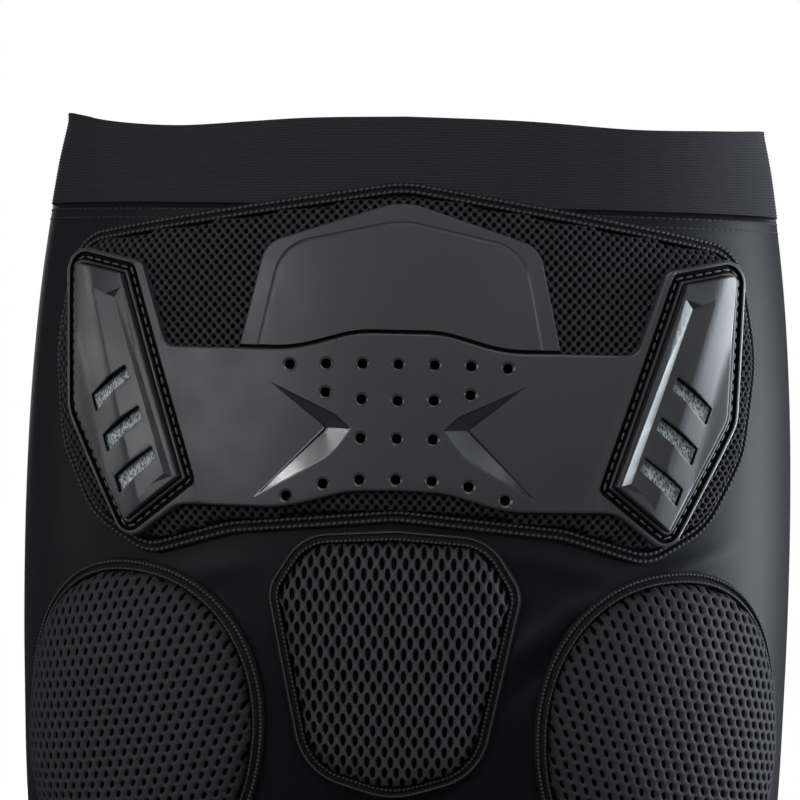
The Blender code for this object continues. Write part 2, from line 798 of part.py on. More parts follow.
def build_upper_plate():
    """A thin plate with a raised field, bored in line with the band's top row."""
    base = flat_piece("upper_plate", plate_corners(), chamfered(PLATE_THICKNESS, RIM_CHAMFER), PLATE_BASE)
    rise = FIELD_THICKNESS - PLATE_THICKNESS / 2
    steps = [Step(0, 0), Step(0, PLATE_THICKNESS / 2), Step(FIELD_BEVEL, rise)]
    field = flat_piece("field", field_corners(), steps, PLATE_BASE + PLATE_THICKNESS / 2)
    holes = [hole_cutter("plate_hole", across, level) for across, level in hole_places(HOLE_ROWS[:1])]
    wrapped_piece("upper_plate", carved(base, joined=[field], cut=holes), "plate_plastic")


def slot_corners(index):
    """A slot's four corners, clockwise: a slanting line along it, and ends in line with the panel's side."""
    along = Vector((math.cos(SLOT_ANGLE), math.sin(SLOT_ANGLE)))
    aside = Vector((math.cos(SLOT_SIDE_ANGLE), math.sin(SLOT_SIDE_ANGLE)))
    start = Vector(guard_point(SLOT_START, 0)[:2]) + aside * SLOT_PITCH * index
    far = start + along * SLOT_LENGTH
    wide, narrow = SLOT_WIDTH * (1 + SLOT_FLARE), SLOT_WIDTH * (1 - SLOT_FLARE)
    points = [start, far, far + aside * wide, start + aside * narrow]
    return [Corner(p.x, p.y, SLOT_WIDTH * SLOT_CORNER) for p in points]


def recess_cutter(side, face):
    """A wedge: deep along the inner side, running out on the outer side, with a sloping inner wall."""
    top, bottom = [Vector(guard_point(share, 0)[:2]) for share in (RECESS_TOP, RECESS_BOTTOM)]
    down = (bottom - top).normalized()
    outward = Vector((-down.y, down.x))
    ramp = 1 + RUN_OUT
    wall_top = top + outward * RECESS_WALL + down * RECESS_WALL
    wall_bottom = bottom + outward * RECESS_WALL - down * RECESS_TOE
    far = (RECESS_WIDTH - RECESS_WALL) * ramp
    far_top = wall_top + outward * far - down * RECESS_WALL
    far_bottom = wall_bottom + outward * far - down * RECESS_RAKE
    floor, skim, above = face - RECESS_DEPTH, face + RECESS_DEPTH * RUN_OUT, face + GUARD_THICKNESS
    flare = (above - floor) / RECESS_DEPTH
    low = [(wall_top, floor), (far_top, skim), (far_bottom, skim), (wall_bottom, floor)]
    high = [wall_top.lerp(top, flare), far_top, far_bottom, wall_bottom.lerp(bottom, flare)]
    return flat_loft("recess", [(side * p.x, p.y, out) for p, out in low],
                     [(side * p.x, p.y, above) for p in high])


def build_side_panel(name, side):
    """A raised panel on its own sewn rim, with a wedge recess and three slots."""
    seat = facing_side(guard_corners(SEAT_OUTLINE), side)
    rim = grown(seat, -GROOVE_WIDTH)
    base = GUARD_FACE + GAP
    sewn = flat_piece(name, rim, chamfered(SEAM_THICKNESS, RIM_CHAMFER), base)
    body = flat_piece("raised", grown(seat, -PANEL_INSET),
                      chamfered(PANEL_THICKNESS - SEAM_THICKNESS / 2, PANEL_BEVEL), base + SEAM_THICKNESS / 2)
    cuts = [recess_cutter(side, base + PANEL_THICKNESS)]
    for index in range(SLOT_COUNT):
        cuts.append(flat_piece("slot", facing_side(slot_corners(index), side),
                               upright(3 * PANEL_THICKNESS), base - PANEL_THICKNESS))
    wrapped_piece(name, carved(sewn, joined=[body], cut=cuts), "panel_plastic")


def build_slot_cloth(name, side):
    """The woven cloth in the flange's window, held just under the panel."""
    seat = facing_side(guard_corners(SEAT_OUTLINE), side)
    outline = grown(seat, -(PANEL_INSET + 2 * GAP))
    mesh = flat_piece(name, outline, upright(SLOT_CLOTH_THICKNESS), GUARD_FACE - SLOT_CLOTH_THICKNESS)
    wrapped_piece(name, mesh, "slot_cloth")


for old in list(bpy.data.objects):
    bpy.data.objects.remove(old, do_unlink=True)
garment = make_collection("padded_hip_shorts")
cutters = make_collection("cutters")
materials = {name: make_material(name) for name in COLOURS}

build_waistband()
build_body()
build_lumbar_pad()
build_tailbone_pad()
for seat_pad in SEAT_PADS:
    build_seat_pad(seat_pad)
build_upper_plate()
build_hip_band()
for suffix, facing in (("right", 1), ("left", -1)):
    build_side_panel("side_panel_" + suffix, facing)
    build_slot_cloth("slot_cloth_" + suffix, facing)
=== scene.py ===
"""Looks of the padded hip shorts: cloth, nets, mouldings, stitches, light and camera.

Metres, +Z up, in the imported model's frame: the wearer's back faces -Y, the waistline is at the origin.
Pads and plates are drawn flat, as across, up and out of the cloth, finely sliced, and bent round the form.
"""
import math
from collections import namedtuple

import bmesh
import bpy
import numpy as np
from mathutils import Matrix, Vector
from mathutils.bvhtree import BVHTree


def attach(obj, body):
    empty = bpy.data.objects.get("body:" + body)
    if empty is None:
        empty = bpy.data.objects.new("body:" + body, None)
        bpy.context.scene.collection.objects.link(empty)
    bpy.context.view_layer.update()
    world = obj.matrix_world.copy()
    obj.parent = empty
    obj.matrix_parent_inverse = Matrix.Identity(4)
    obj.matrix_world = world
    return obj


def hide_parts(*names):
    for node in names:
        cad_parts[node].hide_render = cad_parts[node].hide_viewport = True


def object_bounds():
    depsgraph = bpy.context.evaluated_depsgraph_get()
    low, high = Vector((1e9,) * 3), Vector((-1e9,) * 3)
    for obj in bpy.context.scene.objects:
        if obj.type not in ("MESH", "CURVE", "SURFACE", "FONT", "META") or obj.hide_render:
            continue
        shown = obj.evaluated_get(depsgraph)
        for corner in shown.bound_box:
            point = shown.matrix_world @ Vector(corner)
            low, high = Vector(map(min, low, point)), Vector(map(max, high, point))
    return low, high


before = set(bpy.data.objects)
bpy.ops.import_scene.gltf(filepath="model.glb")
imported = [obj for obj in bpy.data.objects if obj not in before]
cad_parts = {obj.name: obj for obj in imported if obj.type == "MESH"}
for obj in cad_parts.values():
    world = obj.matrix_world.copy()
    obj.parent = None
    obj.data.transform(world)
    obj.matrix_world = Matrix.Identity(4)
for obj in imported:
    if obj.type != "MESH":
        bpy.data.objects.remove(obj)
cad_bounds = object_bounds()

# Garment, as in the solids
HIP_WIDTH = 0.352
SEAT_DEPTH = 0.121
BELLY_DEPTH = 0.101
RISE = 0.2965
INSEAM = 0.152
BAND_HEIGHT = 0.038
BAND_THICKNESS = 0.0018
CLOTH_THICKNESS = 0.0012
LEG_SPREAD = 0.0875
CROTCH_DROP = 0.008

# Pads, as in the solids
LUMBAR_WIDTH = 0.330
LUMBAR_HEIGHT = 0.163
LUMBAR_TOP = -0.0085
LUMBAR_THICKNESS = 0.009
TAILBONE_WIDTH = 0.1096
TAILBONE_HEIGHT = 0.1175
TAILBONE_THICKNESS = 0.0095
SEAT_PAD_WIDTH = 0.127
SEAT_PAD_HEIGHT = 0.147
SEAT_PAD_THICKNESS = 0.010
SEAT_PAD_SPACING = 0.0015
PAD_SPACING = 0.0025

# Moulded guard, as in the solids
GUARD_WIDTH = 0.295
GUARD_HEIGHT = 0.1278
GUARD_DROP = 0.0301
GUARD_THICKNESS = 0.004
PLATE_WIDTH = 0.1384
PLATE_RISE = 0.0566
PLATE_TUCK = 0.018
PLATE_THICKNESS = 0.0012
FIELD_THICKNESS = 0.0022
FIELD_BEVEL = 0.0018
FIELD_CURVE = ((0.30, 0.62), (0.60, 0.86), (1, 1))
FIELD_MARGIN = 0.0082
HOLE_PITCH = 0.0149
HOLE_DIAMETER = 0.0042
HOLE_BEVEL = 0.0009
HOLE_BEVEL_DEPTH = 0.00048
HOLE_DISH_POWER = 1.3
CHEVRON_DEPTH = 0.0021
GROOVE_WIDTH = 0.0024
GROOVE_DEPTH = 0.0014
SEAM_WIDTH = 0.0023
SEAM_THICKNESS = 0.0012
PANEL_STEP = 0.0004
PANEL_THICKNESS = 0.0046
RECESS_RATE = 0.225
SLOT_LENGTH = 0.0207
SLOT_WIDTH = 0.0066
SLOT_PITCH = 0.0181
SLOT_COUNT = 3
CLOTH_SINK = 0.0006
GAP = 0.0003

# Edge roundings of the mouldings
GUARD_EDGE = 0.0010
GROOVE_EDGE = 0.0005
PLATE_EDGE = 0.0009
RIM_EDGE = 0.0006
PANEL_EDGE = 0.0008
SLOT_EDGE = 0.0005
CHEVRON_EDGE_RADIUS = 0.0005
EDGE_STEPS = 4

# How much of a groove's rounding stays outside it, and how much of the band's rounding gets the lighter edge
# plastic, a painted highlight
GROOVE_START = 0.1
EDGE_SHARE = 0.9

# The upward part of a face's normal: at most this on a slot's wall, at least this on the panel's face
STEEP = 0.1
FLAT = 0.5

# The cosine and sine of each step of a quarter round
QUARTER = [(math.cos(math.pi / 2 * step / EDGE_STEPS), math.sin(math.pi / 2 * step / EDGE_STEPS))
           for step in range(EDGE_STEPS + 1)]

# The channel in the plate along the band's upper edge, lined near black as the band's painted shadow
CHANNEL_WIDTH = 0.0017
CHANNEL_FLOOR = 0.0004

# The seam round each panel, its groove lined near black as painted shade, the thin rim inside it, and the
# raised lip of the flange outside it
RIM_INSET = 0.0034
RIM_WIDTH = 0.0013
LIP_WIDTH = 0.0048
LIP_HEIGHT = 0.0005

# The panels' outer slopes: how steep, how softly they start, and how much of the panel's height they take
SLOPE_RATE = 0.24
SLOPE_START = 0.005
SLOPE_MOST = 0.78
INNER_RATE = 0.26
INNER_START = 0.0012

# Where the lip, the outer slope and the inner one are cut to bend, as shares of how far each reaches
LIP_CUTS = (0.01, 0.2, 0.4, 0.6, 0.8, 1.0)
CREST_CUTS = (-0.5, -0.25, 0, 0.25, 0.5, 0.75, 1.0)
WALL_CUTS = (0.01, 0.5, 1.0)

# Fineness of the visual meshes
ARC_STEP = math.radians(4)
SLICE = 0.004
PANEL_SLICE = 0.002
WELD = 2e-6
ON_PLANE = 2e-5
LEAST_RADIUS = 0.0002
SHARP = math.radians(26)
HOLE_SIDES = 28
NORMAL_WEIGHT = 80

# Guards against dividing by nothing: a length, the turn between two sides of an outline, and an arc's turn
TINY = 1e-12
STRAIGHT = 1e-6
LEAST_TURN = 0.01

# Levels that follow from the sizes
TOP_LEVEL = BAND_HEIGHT / 2
SEAM_LEVEL = -BAND_HEIGHT / 2
CROTCH_LEVEL = TOP_LEVEL - RISE
GUARD_LEVEL = LUMBAR_TOP - GUARD_DROP - GUARD_HEIGHT / 2
PAD_BASE = 2.5 * GAP
PLATE_BASE = PAD_BASE + LUMBAR_THICKNESS + GAP
GUARD_FACE = PLATE_BASE + GUARD_THICKNESS
FIELD_FACE = PLATE_BASE + FIELD_THICKNESS
PANEL_BASE = GUARD_FACE + GAP
PANEL_INSET = GROOVE_WIDTH + SEAM_WIDTH + PANEL_STEP
VALLEY = PANEL_BASE + SEAM_THICKNESS - RIM_EDGE

Section = namedtuple("Section", "drop half_width back front")
Corner = namedtuple("Corner", "across up radius")
Step = namedtuple("Step", "inset height")

# Torso and legs by drop, as shares of the same sizes as in the solids
TORSO = [
    Section(0.00, 0.906, 0.785, 0.94),
    Section(0.07, 0.930, 0.820, 0.96),
    Section(0.24, 0.969, 0.893, 0.99),
    Section(0.41, 0.991, 0.950, 1.00),
    Section(0.58, 1.000, 0.992, 1.00),
    Section(0.75, 1.000, 1.000, 0.98),
    Section(0.91, 0.994, 0.950, 0.96),
    Section(1.00, 0.989, 0.905, 0.94),
    Section(1.15, 0.975, 0.820, 0.91),
    Section(1.30, 0.958, 0.740, 0.88),
]
LEGS = [
    Section(0.0, 0.485, 0.905, 0.940),
    Section(0.3, 0.472, 0.845, 0.910),
    Section(0.6, 0.457, 0.785, 0.880),
    Section(1.0, 0.440, 0.715, 0.840),
]
TORSO_POWER = 2.35
LEG_POWER = 2.1
LEG_BLEND = 0.95
INNER_BLEND = 0.40
INNER_TURNS = 0.10
INNER_ANGLE = math.radians(50)
CROTCH_REACH = 0.035
CROTCH_SHARE = 0.96
CROTCH_FORCE = 0.5
CROTCH_PASSES = 60

# Rows and columns of the cloth
HALF_STEPS = 60
INNER_STEPS = 10
TORSO_ROWS = 42
LEG_ROWS = 24
BAND_STEPS = 180
BAND_LEVELS = 25
BAND_BELOW = 0.001
BAND_ABOVE = 0.006
RIB_COUNT = 31
RIB_ROWS = 3
RIB_PHASE = 1.0
RIB_HEIGHT = 0.00034
# How much darker the rib hollows are painted: a painted shade
RIB_SHADE = 0.45

# The waist's top edge: share of the girth from the middle of the back to the wearer's right, and height
Edge = namedtuple("Edge", "share height")
WAIST_EDGE = [
    Edge(0.000, 0.0198),
    Edge(0.060, 0.0189),
    Edge(0.120, 0.0167),
    Edge(0.174, 0.0180),
    Edge(0.250, 0.0206),
    Edge(0.375, 0.0165),
    Edge(0.500, 0.0200),
    Edge(0.625, 0.0165),
    Edge(0.725, 0.0215),
    Edge(0.765, 0.0232),
    Edge(0.796, 0.0213),
    Edge(0.832, 0.0175),
    Edge(0.862, 0.0155),
    Edge(0.885, 0.0152),
    Edge(0.916, 0.0168),
    Edge(0.950, 0.0187),
    Edge(1.000, 0.0198),
]

# The form as a fine grid, across from the middle of the back and up
FORM_LOW = -0.345
FORM_HIGH = 0.024
FORM_REACH = 0.235
FORM_PITCH = 0.001

# Outlines of one half, as shares of half the width and of the height
LUMBAR_OUTLINE = [
    Corner(0.000, 0.000, 0.30),
    Corner(0.927, -0.154, 0.15),
    Corner(1.000, -0.450, 0.35),
    Corner(0.958, -0.710, 0.25),
    Corner(0.836, -0.906, 0.22),
    Corner(0.655, -1.000, 0.13),
    Corner(0.424, -0.930, 0.25),
    Corner(0.000, -0.889, 0.30),
]
TAILBONE_OUTLINE = [
    Corner(0.000, 0.000, 0.40),
    Corner(0.730, -0.022, 0.19),
    Corner(1.000, -0.225, 0.14),
    Corner(0.700, -0.900, 0.24),
    Corner(0.000, -1.000, 0.30),
]
GUARD_OUTLINE = [
    Corner(0.000, 0.215, 0.0),
    Corner(0.119, 0.215, 0.35),
    Corner(0.295, 0.157, 0.47),
    Corner(0.660, 0.160, 0.04),
    Corner(0.742, 0.438, 0.04),
    Corner(1.000, 0.500, 0.08),
    Corner(0.976, -0.066, 0.16),
    Corner(0.766, -0.500, 0.063),
    Corner(0.610, -0.358, 0.11),
    Corner(0.308, -0.358, 0.47),
    Corner(0.136, -0.301, 0.35),
    Corner(0.000, -0.296, 0.0),
]
SEAT_OUTLINE = [
    Corner(0.763, 0.426, 0.031),
    Corner(0.986, 0.480, 0.063),
    Corner(0.963, -0.062, 0.14),
    Corner(0.765, -0.478, 0.047),
    Corner(0.559, -0.286, 0.031),
]
PLATE_OUTLINE = [
    Corner(0.000, 0.000, 0.40),
    Corner(0.824, -0.255, 0.16),
    Corner(1.000, -1.000, 0.03),
]
FIELD_OUTLINE = [
    Corner(0.000, 0.000, 0.55),
    Corner(0.830, -0.180, 0.30),
    Corner(1.000, -1.000, 0.02),
]

# Hole rows: count, level as a share of GUARD_HEIGHT, sag of the outer hole as a share of HOLE_PITCH
HoleRow = namedtuple("HoleRow", "count up sag")
HOLE_ROWS = [
    HoleRow(7, 0.114, 0.06),
    HoleRow(5, -0.005, -0.20),
    HoleRow(3, -0.129, 0.00),
    HoleRow(7, -0.261, 0.51),
]

# Chevron on the right side, clockwise from the inner elbow, radii as shares of the guard's height
CHEVRON_OUTLINE = [
    Corner(0.208, -0.097, 0.004),
    Corner(0.391, 0.073, 0.001),
    Corner(0.168, -0.050, 0.090),
    Corner(0.124, -0.099, 0.005),
    Corner(0.178, -0.188, 0.200),
    Corner(0.418, -0.351, 0.001),
]

# Where the chevrons' floors lie, by the same shares, and the least crease between their planes
CHEVRON_BOX = (0.12, 0.40, -0.36, 0.10)
CREASE = math.radians(6)

# Where the chevrons' rims begin and end outside the outline, how deep they reach, and how little below the
# face a floor may start, as shares of the rims' radius
RIM_SHARES = (0.9, 1.95)
RIM_DEPTH = 1.05
FLOOR_START = 0.02

# Slots and recess of the right panel, by the guard's own shares
SLOT_START = (0.769, 0.088)
SLOT_ANGLE = math.radians(-39)
SLOT_SIDE_ANGLE = math.radians(-110.5)
SLOT_FLARE = 0.15
SLOT_CORNER = 0.08
WALL_TOP = (0.784, 0.343)
WALL_BOTTOM = (0.613, -0.270)
FOOT_TOP = (0.810, 0.311)
FOOT_BOTTOM = (0.646, -0.262)
CREST_TOP = (0.878, 0.344)
CREST_BOTTOM = (0.712, -0.352)

# Seat pads: side, shift outward as a share of the width, turn in degrees
SeatPad = namedtuple("SeatPad", "side aside turn")
SEAT_PADS = {
    "seat_pad_left": SeatPad(-1, 0.000, 7.0),
    "seat_pad_right": SeatPad(1, 0.045, -3.0),
}
SEAT_PAD_POWER = 2.15
SEAT_PAD_SIDES = 120
SIDE_PITCH = 0.003

# Nets: two lattice steps, the hole's size, sharpness of its ends, extra height at the knots, how light the
# yarn is painted, set per pad as painted light for how brightly each pad is lit, how much darker the strands
# are painted than the knots, which makes a painted highlight on the knots, points on each side of a cell,
# and the turn of the holes' long axis in degrees
Net = namedtuple("Net", "step_x step_y next_x next_y hole_width hole_height lens knot light fade split turn")
NETS = {
    "lumbar": Net(0.0040, 0.0, 0.0020, 0.00225, 0.0016, 0.0019, 0.2, 0.6, 0.64, 0.70, 2, 0.0),
    "tailbone": Net(0.00495, 0.0, 0.002475, 0.0046, 0.0021, 0.0056, 0.35, 0.25, 1.0, 0.35, 3, 0.0),
    "seat_pad_left": Net(0.0042, -0.0026, 0.0042, 0.0026, 0.0016, 0.0036, 0.1, 0.0, 0.49, 0.0, 3, -22.0),
    "seat_pad_right": Net(0.0042, -0.0026, 0.0042, 0.0026, 0.0016, 0.0037, 0.1, 0.0, 0.53, 0.0, 3, 20.0),
}

# How far the knots' lump and their painted highlight reach, as shares of a step, how light the net is
# painted at its lowest, a painted shade down the pads' shoulders, and how far its lattice reaches from the
# middle as a share of the pad
KNOT_LUMP = 0.25
KNOT_REACH = 0.28
SHOULDER_SHADE = 0.35
LATTICE_REACH = 0.75

# The rings of a cell: share of the way from the strands' middle to the hole, height as a share of NET_RISE
STRAND = ((0.0, 1.0), (0.5, 0.82), (0.92, 0.25), (1.0, -0.45))

# The nets: strands over the cloth, lift off the foam, ends under the bound edge and the plates, welding
# distance, extra length of the flat cut, and how high over the foam its height is measured from
NET_RISE = 0.0008
NET_LIFT = 0.0002
NET_TUCK = 0.0022
NET_UNDER = 0.003
NET_WELD = 1e-5
RAY_START = 0.1

# Foam: thickness before it swells, width of its shoulder, voxel size, pressure, and the most it may swell;
# then where the shoulder bends, as shares of its width and height
Foam = namedtuple("Foam", "thickness shoulder voxel pressure cap")
SEAT_FOAM = Foam(SEAT_PAD_THICKNESS - 0.001, 0.0080, 0.004, 4.0, 0.0035)
FOAMS = {
    "lumbar": Foam(LUMBAR_THICKNESS - 0.0012, 0.0030, 0.0045, 2.0, 0.0006),
    "tailbone": Foam(TAILBONE_THICKNESS - 0.0005, 0.0065, 0.004, 4.0, 0.0030),
    "seat_pad_left": SEAT_FOAM,
    "seat_pad_right": SEAT_FOAM,
}
FOAM_BEND = Step(0.35, 0.55)
FOAM_OVERLAP = 0.001
FOAM_SIDE = 0.0025
FOAM_SINK = 0.0006
HELD_HEIGHT = 0.0042
SWELL_FRAMES = 20

# Thread knots on the two ridges of each pad's bound edge, the outer ridge first, the slant in degrees
Grain = namedtuple("Grain", "length width height pitch slant")
SEAT_GRAINS = [Grain(0.0014, 0.0012, 0.0009, 0.0018, 15), Grain(0.0020, 0.0008, 0.0006, 0.0020, 10)]
EDGINGS = {
    "lumbar": 2 * [Grain(0.0019, 0.0015, 0.0011, 0.0024, 14)],
    "tailbone": [Grain(0.0024, 0.0009, 0.0008, 0.0019, 6), Grain(0.0014, 0.0010, 0.0007, 0.0019, 22)],
    "seat_pad_left": SEAT_GRAINS,
    "seat_pad_right": SEAT_GRAINS,
}
STITCH_SIDES = 6
STITCH_RINGS = 5
STITCH_TIP = 0.06

# Stitches round the panels, how far across the seam they run as a share, and how deep they lie in it
PANEL_STITCH = Grain(0.0034, 0.0011, 0.0008, 0.0044, 0)
SEAM_LINE = 0.6
SEAM_SINK = 0.0006

# Sewn rows on the cloth: how far below the waist seam, above the hem, and to each side of an upright seam,
# where the upright seams start and end, and how many levels each of them is drawn through
WAIST_ROWS = (0.0025, 0.0065)
HEM_ROWS = (0.016, 0.020)
SEAM_ROWS = (-0.0022, 0.0022)
SEAM_START = 0.009
SEAM_END = 0.022
FRONT_END = 0.004
INNER_SEAM_DROP = 0.03
FRONT_POINTS = 60
OUTER_POINTS = 90
INNER_POINTS = 40
SIDE_SEAM = 0.5
CLOTH_STITCH = Grain(0.0026, 0.0009, 0.0006, 0.0034, 0)

# The bound edge round a pad: insets and heights, two stitched ridges with a seam between them
BINDING = [
    Step(0.0000, 0.0000),
    Step(0.0001, 0.0018),
    Step(0.0006, 0.0028),
    Step(0.0014, 0.0031),
    Step(0.0021, 0.0026),
    Step(0.0026, 0.0018),
    Step(0.0031, 0.0026),
    Step(0.0037, 0.0036),
    Step(0.0044, 0.0039),
    Step(0.0050, 0.0034),
    Step(0.0055, 0.0020),
]
RIDGES = (BINDING[3], BINDING[8])

# Camera, fitted to the photograph
FOCAL_LENGTH = 135.0
CAMERA_AZIMUTH = 2.5
CAMERA_ELEVATION = 2.0
CAMERA_ROLL = math.radians(1.2)
CAMERA_DISTANCE = 1.330
CAMERA_TARGET = Vector((-0.002, -0.060, -0.1035))

# Stage: a glowing pale floor, and the radius of a white dome
FLOOR_RADIUS = 0.9
FLOOR_DROP = 0.002
FLOOR_GLOW = 0.72
DOME_RADIUS = 9.5

# The dim light from everywhere
WORLD_COLOUR = (0.9, 0.93, 1.0, 1.0)
WORLD_STRENGTH = 0.10

# How strongly the yarn of a cloth stands out
YARN_BUMP = 0.7


def smooth_table(rows, drop):
    """The row at a drop, by a smooth curve through the table's rows."""
    knots = [row[0] for row in rows]
    drop = min(max(drop, knots[0]), knots[-1])
    right = min(max(int(np.searchsorted(knots, drop)), 1), len(rows) - 1)
    left = right - 1
    span = knots[right] - knots[left]
    t = (drop - knots[left]) / span
    values = []
    for column in range(1, len(rows[0])):
        def slope(index):
            low, high = max(index - 1, 0), min(index + 1, len(rows) - 1)
            return (rows[high][column] - rows[low][column]) / (knots[high] - knots[low])
        a, b = rows[left][column], rows[right][column]
        ta, tb = slope(left) * span, slope(right) * span
        values.append(a * (1 + 2 * t) * (1 - t) ** 2 + ta * t * (1 - t) ** 2
                      + b * t * t * (3 - 2 * t) + tb * t * t * (t - 1))
    return values


def power(value, exponent):
    return np.sign(value) * np.abs(value) ** (2 / exponent)


def torso_half(level, turns):
    """Points of the right half of the torso's section, turns from 0 at the back to 1 at the front."""
    half_width, back, front = smooth_table(TORSO, (TOP_LEVEL - level) / RISE)
    angle = np.pi * np.asarray(turns)
    x = HIP_WIDTH / 2 * half_width * power(np.sin(angle), TORSO_POWER)
    cosine = power(np.cos(angle), TORSO_POWER)
    y = np.where(cosine > 0, -SEAT_DEPTH * back * cosine, -BELLY_DEPTH * front * cosine)
    return x, y


def leg_points(level, angles):
    """Points of the right leg's oval at angles measured from its outer side, negative at the back."""
    half_width, back, front = smooth_table(LEGS, (CROTCH_LEVEL - level) / INSEAM)
    x = LEG_SPREAD + HIP_WIDTH / 2 * half_width * power(np.cos(angles), LEG_POWER)
    sine = power(np.sin(angles), LEG_POWER)
    y = np.where(sine < 0, SEAT_DEPTH * back * sine, BELLY_DEPTH * front * sine)
    return x, y


def smooth(t):
    t = np.clip(t, 0.0, 1.0)
    return t * t * (3 - 2 * t)


def leg_blend(level, turns):
    """0 where the leg still has the torso's section, 1 where it is an oval: sooner on its inner side."""
    to_end = np.minimum(turns, 1 - turns)
    reach = INNER_BLEND + (LEG_BLEND - INNER_BLEND) * smooth(to_end / INNER_TURNS)
    return smooth((CROTCH_LEVEL - level) / (INSEAM * reach))


def half_section(level, turns):
    """The outer line of the right half of the form at a level, from the back to the front."""
    turns = np.asarray(turns)
    x, y = torso_half(level, turns)
    if level < CROTCH_LEVEL:
        blend = leg_blend(level, turns)
        lx, ly = leg_points(level, (math.pi - INNER_ANGLE) * (2 * turns - 1))
        x, y = x + (lx - x) * blend, y + (ly - y) * blend
    return x, y


def arc_lengths(x, y):
    return np.concatenate([[0.0], np.cumsum(np.hypot(np.diff(x), np.diff(y)))])


FINE_TURNS = np.linspace(0, 1, 721)
MIDDLE = len(FINE_TURNS) // 2
CROTCH_SIDE = arc_lengths(*half_section(CROTCH_LEVEL, FINE_TURNS))[MIDDLE]


def even_turns(steps):
    """Turns that part the half section into even lengths, just above the crotch."""
    lengths = arc_lengths(*half_section(CROTCH_LEVEL, FINE_TURNS))
    return np.interp(np.linspace(0, lengths[-1], steps + 1), lengths, FINE_TURNS)


def units(vectors):
    """The vectors at a length of one."""
    return vectors / np.maximum(np.linalg.norm(vectors, axis=-1, keepdims=True), TINY)


def form_grid():
    """Places and outward directions of the form, in rows up and columns across."""
    across = np.arange(0, FORM_REACH, FORM_PITCH)
    rows = []
    for level in np.arange(FORM_LOW, FORM_HIGH, FORM_PITCH):
        x, y = half_section(level, FINE_TURNS)
        lengths = arc_lengths(x, y)
        if level < CROTCH_LEVEL:
            lengths = lengths + CROTCH_SIDE - lengths[MIDDLE]
        rows.append(np.stack([np.interp(across, lengths, x), np.interp(across, lengths, y),
                              np.full_like(across, level)], axis=1))
    right = np.array(rows)
    places = np.concatenate([right[:, :0:-1] * (-1, 1, 1), right], axis=1)
    return places, units(np.cross(np.gradient(places, axis=1), np.gradient(places, axis=0)))


PLACES, OUTWARD = form_grid()


def bend(points):
    """Flat points, as across, up and out, laid on the form and lifted off it."""
    points = np.asarray(points, float).reshape(-1, 3)
    rows, columns = PLACES.shape[:2]
    column = np.clip(points[:, 0] / FORM_PITCH + columns // 2, 0, columns - 1.001)
    row = np.clip((points[:, 1] - FORM_LOW) / FORM_PITCH, 0, rows - 1.001)
    c, r = column.astype(int), row.astype(int)
    fc, fr = (column - c)[:, None], (row - r)[:, None]
    base, out = [(grid[r, c] * (1 - fc) + grid[r, c + 1] * fc) * (1 - fr)
                 + (grid[r + 1, c] * (1 - fc) + grid[r + 1, c + 1] * fc) * fr
                 for grid in (PLACES, OUTWARD)]
    return base + units(out) * points[:, 2:3]


def mirrored(corners):
    """The whole outline, clockwise, from the corners of its right half."""
    left = [Corner(-c.across, c.up, c.radius) for c in reversed(corners) if c.across > 0]
    return corners + left


def scaled(corners, half_width, height, level=0.0):
    return [Corner(c.across * half_width, c.up * height + level, c.radius * height) for c in corners]


def corner_sides(corners):
    """Each corner with its place and the directions of the sides that arrive there and leave."""
    for index, corner in enumerate(corners):
        here = Vector((corner.across, corner.up))
        before = Vector(corners[index - 1][:2])
        after = Vector(corners[(index + 1) % len(corners)][:2])
        yield corner, here, (here - before).normalized(), (after - here).normalized()


def grown(corners, distance):
    """A clockwise outline with each side moved out by a distance."""
    result = []
    for corner, here, arrive, leave in corner_sides(corners):
        out_a, out_b = Vector((-arrive.y, arrive.x)), Vector((-leave.y, leave.x))
        turn = arrive.cross(leave)
        if abs(turn) < STRAIGHT:
            point = here + out_a * distance
        else:
            middle = (out_a + out_b).normalized()
            point = here + middle * (distance / middle.dot(out_a))
        radius = corner.radius + (distance if turn < 0 else -distance)
        result.append(Corner(point.x, point.y, max(radius, LEAST_RADIUS) if corner.radius > 0 else 0.0))
    return result


def rounded(corners):
    """The outline's points, with each corner turned into an arc."""
    points = []
    for corner, here, arrive, leave in corner_sides(corners):
        turn = math.acos(min(max(arrive.dot(leave), -1), 1))
        if corner.radius == 0 or turn < LEAST_TURN:
            points.append(here)
            continue
        steps = max(round(turn / ARC_STEP), 1)
        start = here - arrive * (corner.radius * math.tan(turn / 2))
        sign = math.copysign(1.0, arrive.cross(leave))
        centre = start + Vector((-arrive.y, arrive.x)) * corner.radius * sign
        spoke = start - centre
        for step in range(steps + 1):
            angle = sign * turn * step / steps
            cosine, sine = math.cos(angle), math.sin(angle)
            arm = Vector((spoke.x * cosine - spoke.y * sine, spoke.x * sine + spoke.y * cosine))
            points.append(centre + arm)
    return points


def region_of(corners):
    """The outline's points as a polygon of flat numbers."""
    return np.array([(p.x, p.y) for p in rounded(corners)])


def is_clockwise(ring):
    area = sum(a[0] * b[1] - b[0] * a[1] for a, b in zip(ring, list(ring[1:]) + [ring[0]]))
    return area < 0


def opened(mesh):
    work = bmesh.new()
    work.from_mesh(mesh)
    return work


def finished(work, name):
    """A new mesh of the work, which is freed."""
    mesh = bpy.data.meshes.new(name)
    work.to_mesh(mesh)
    work.free()
    return mesh


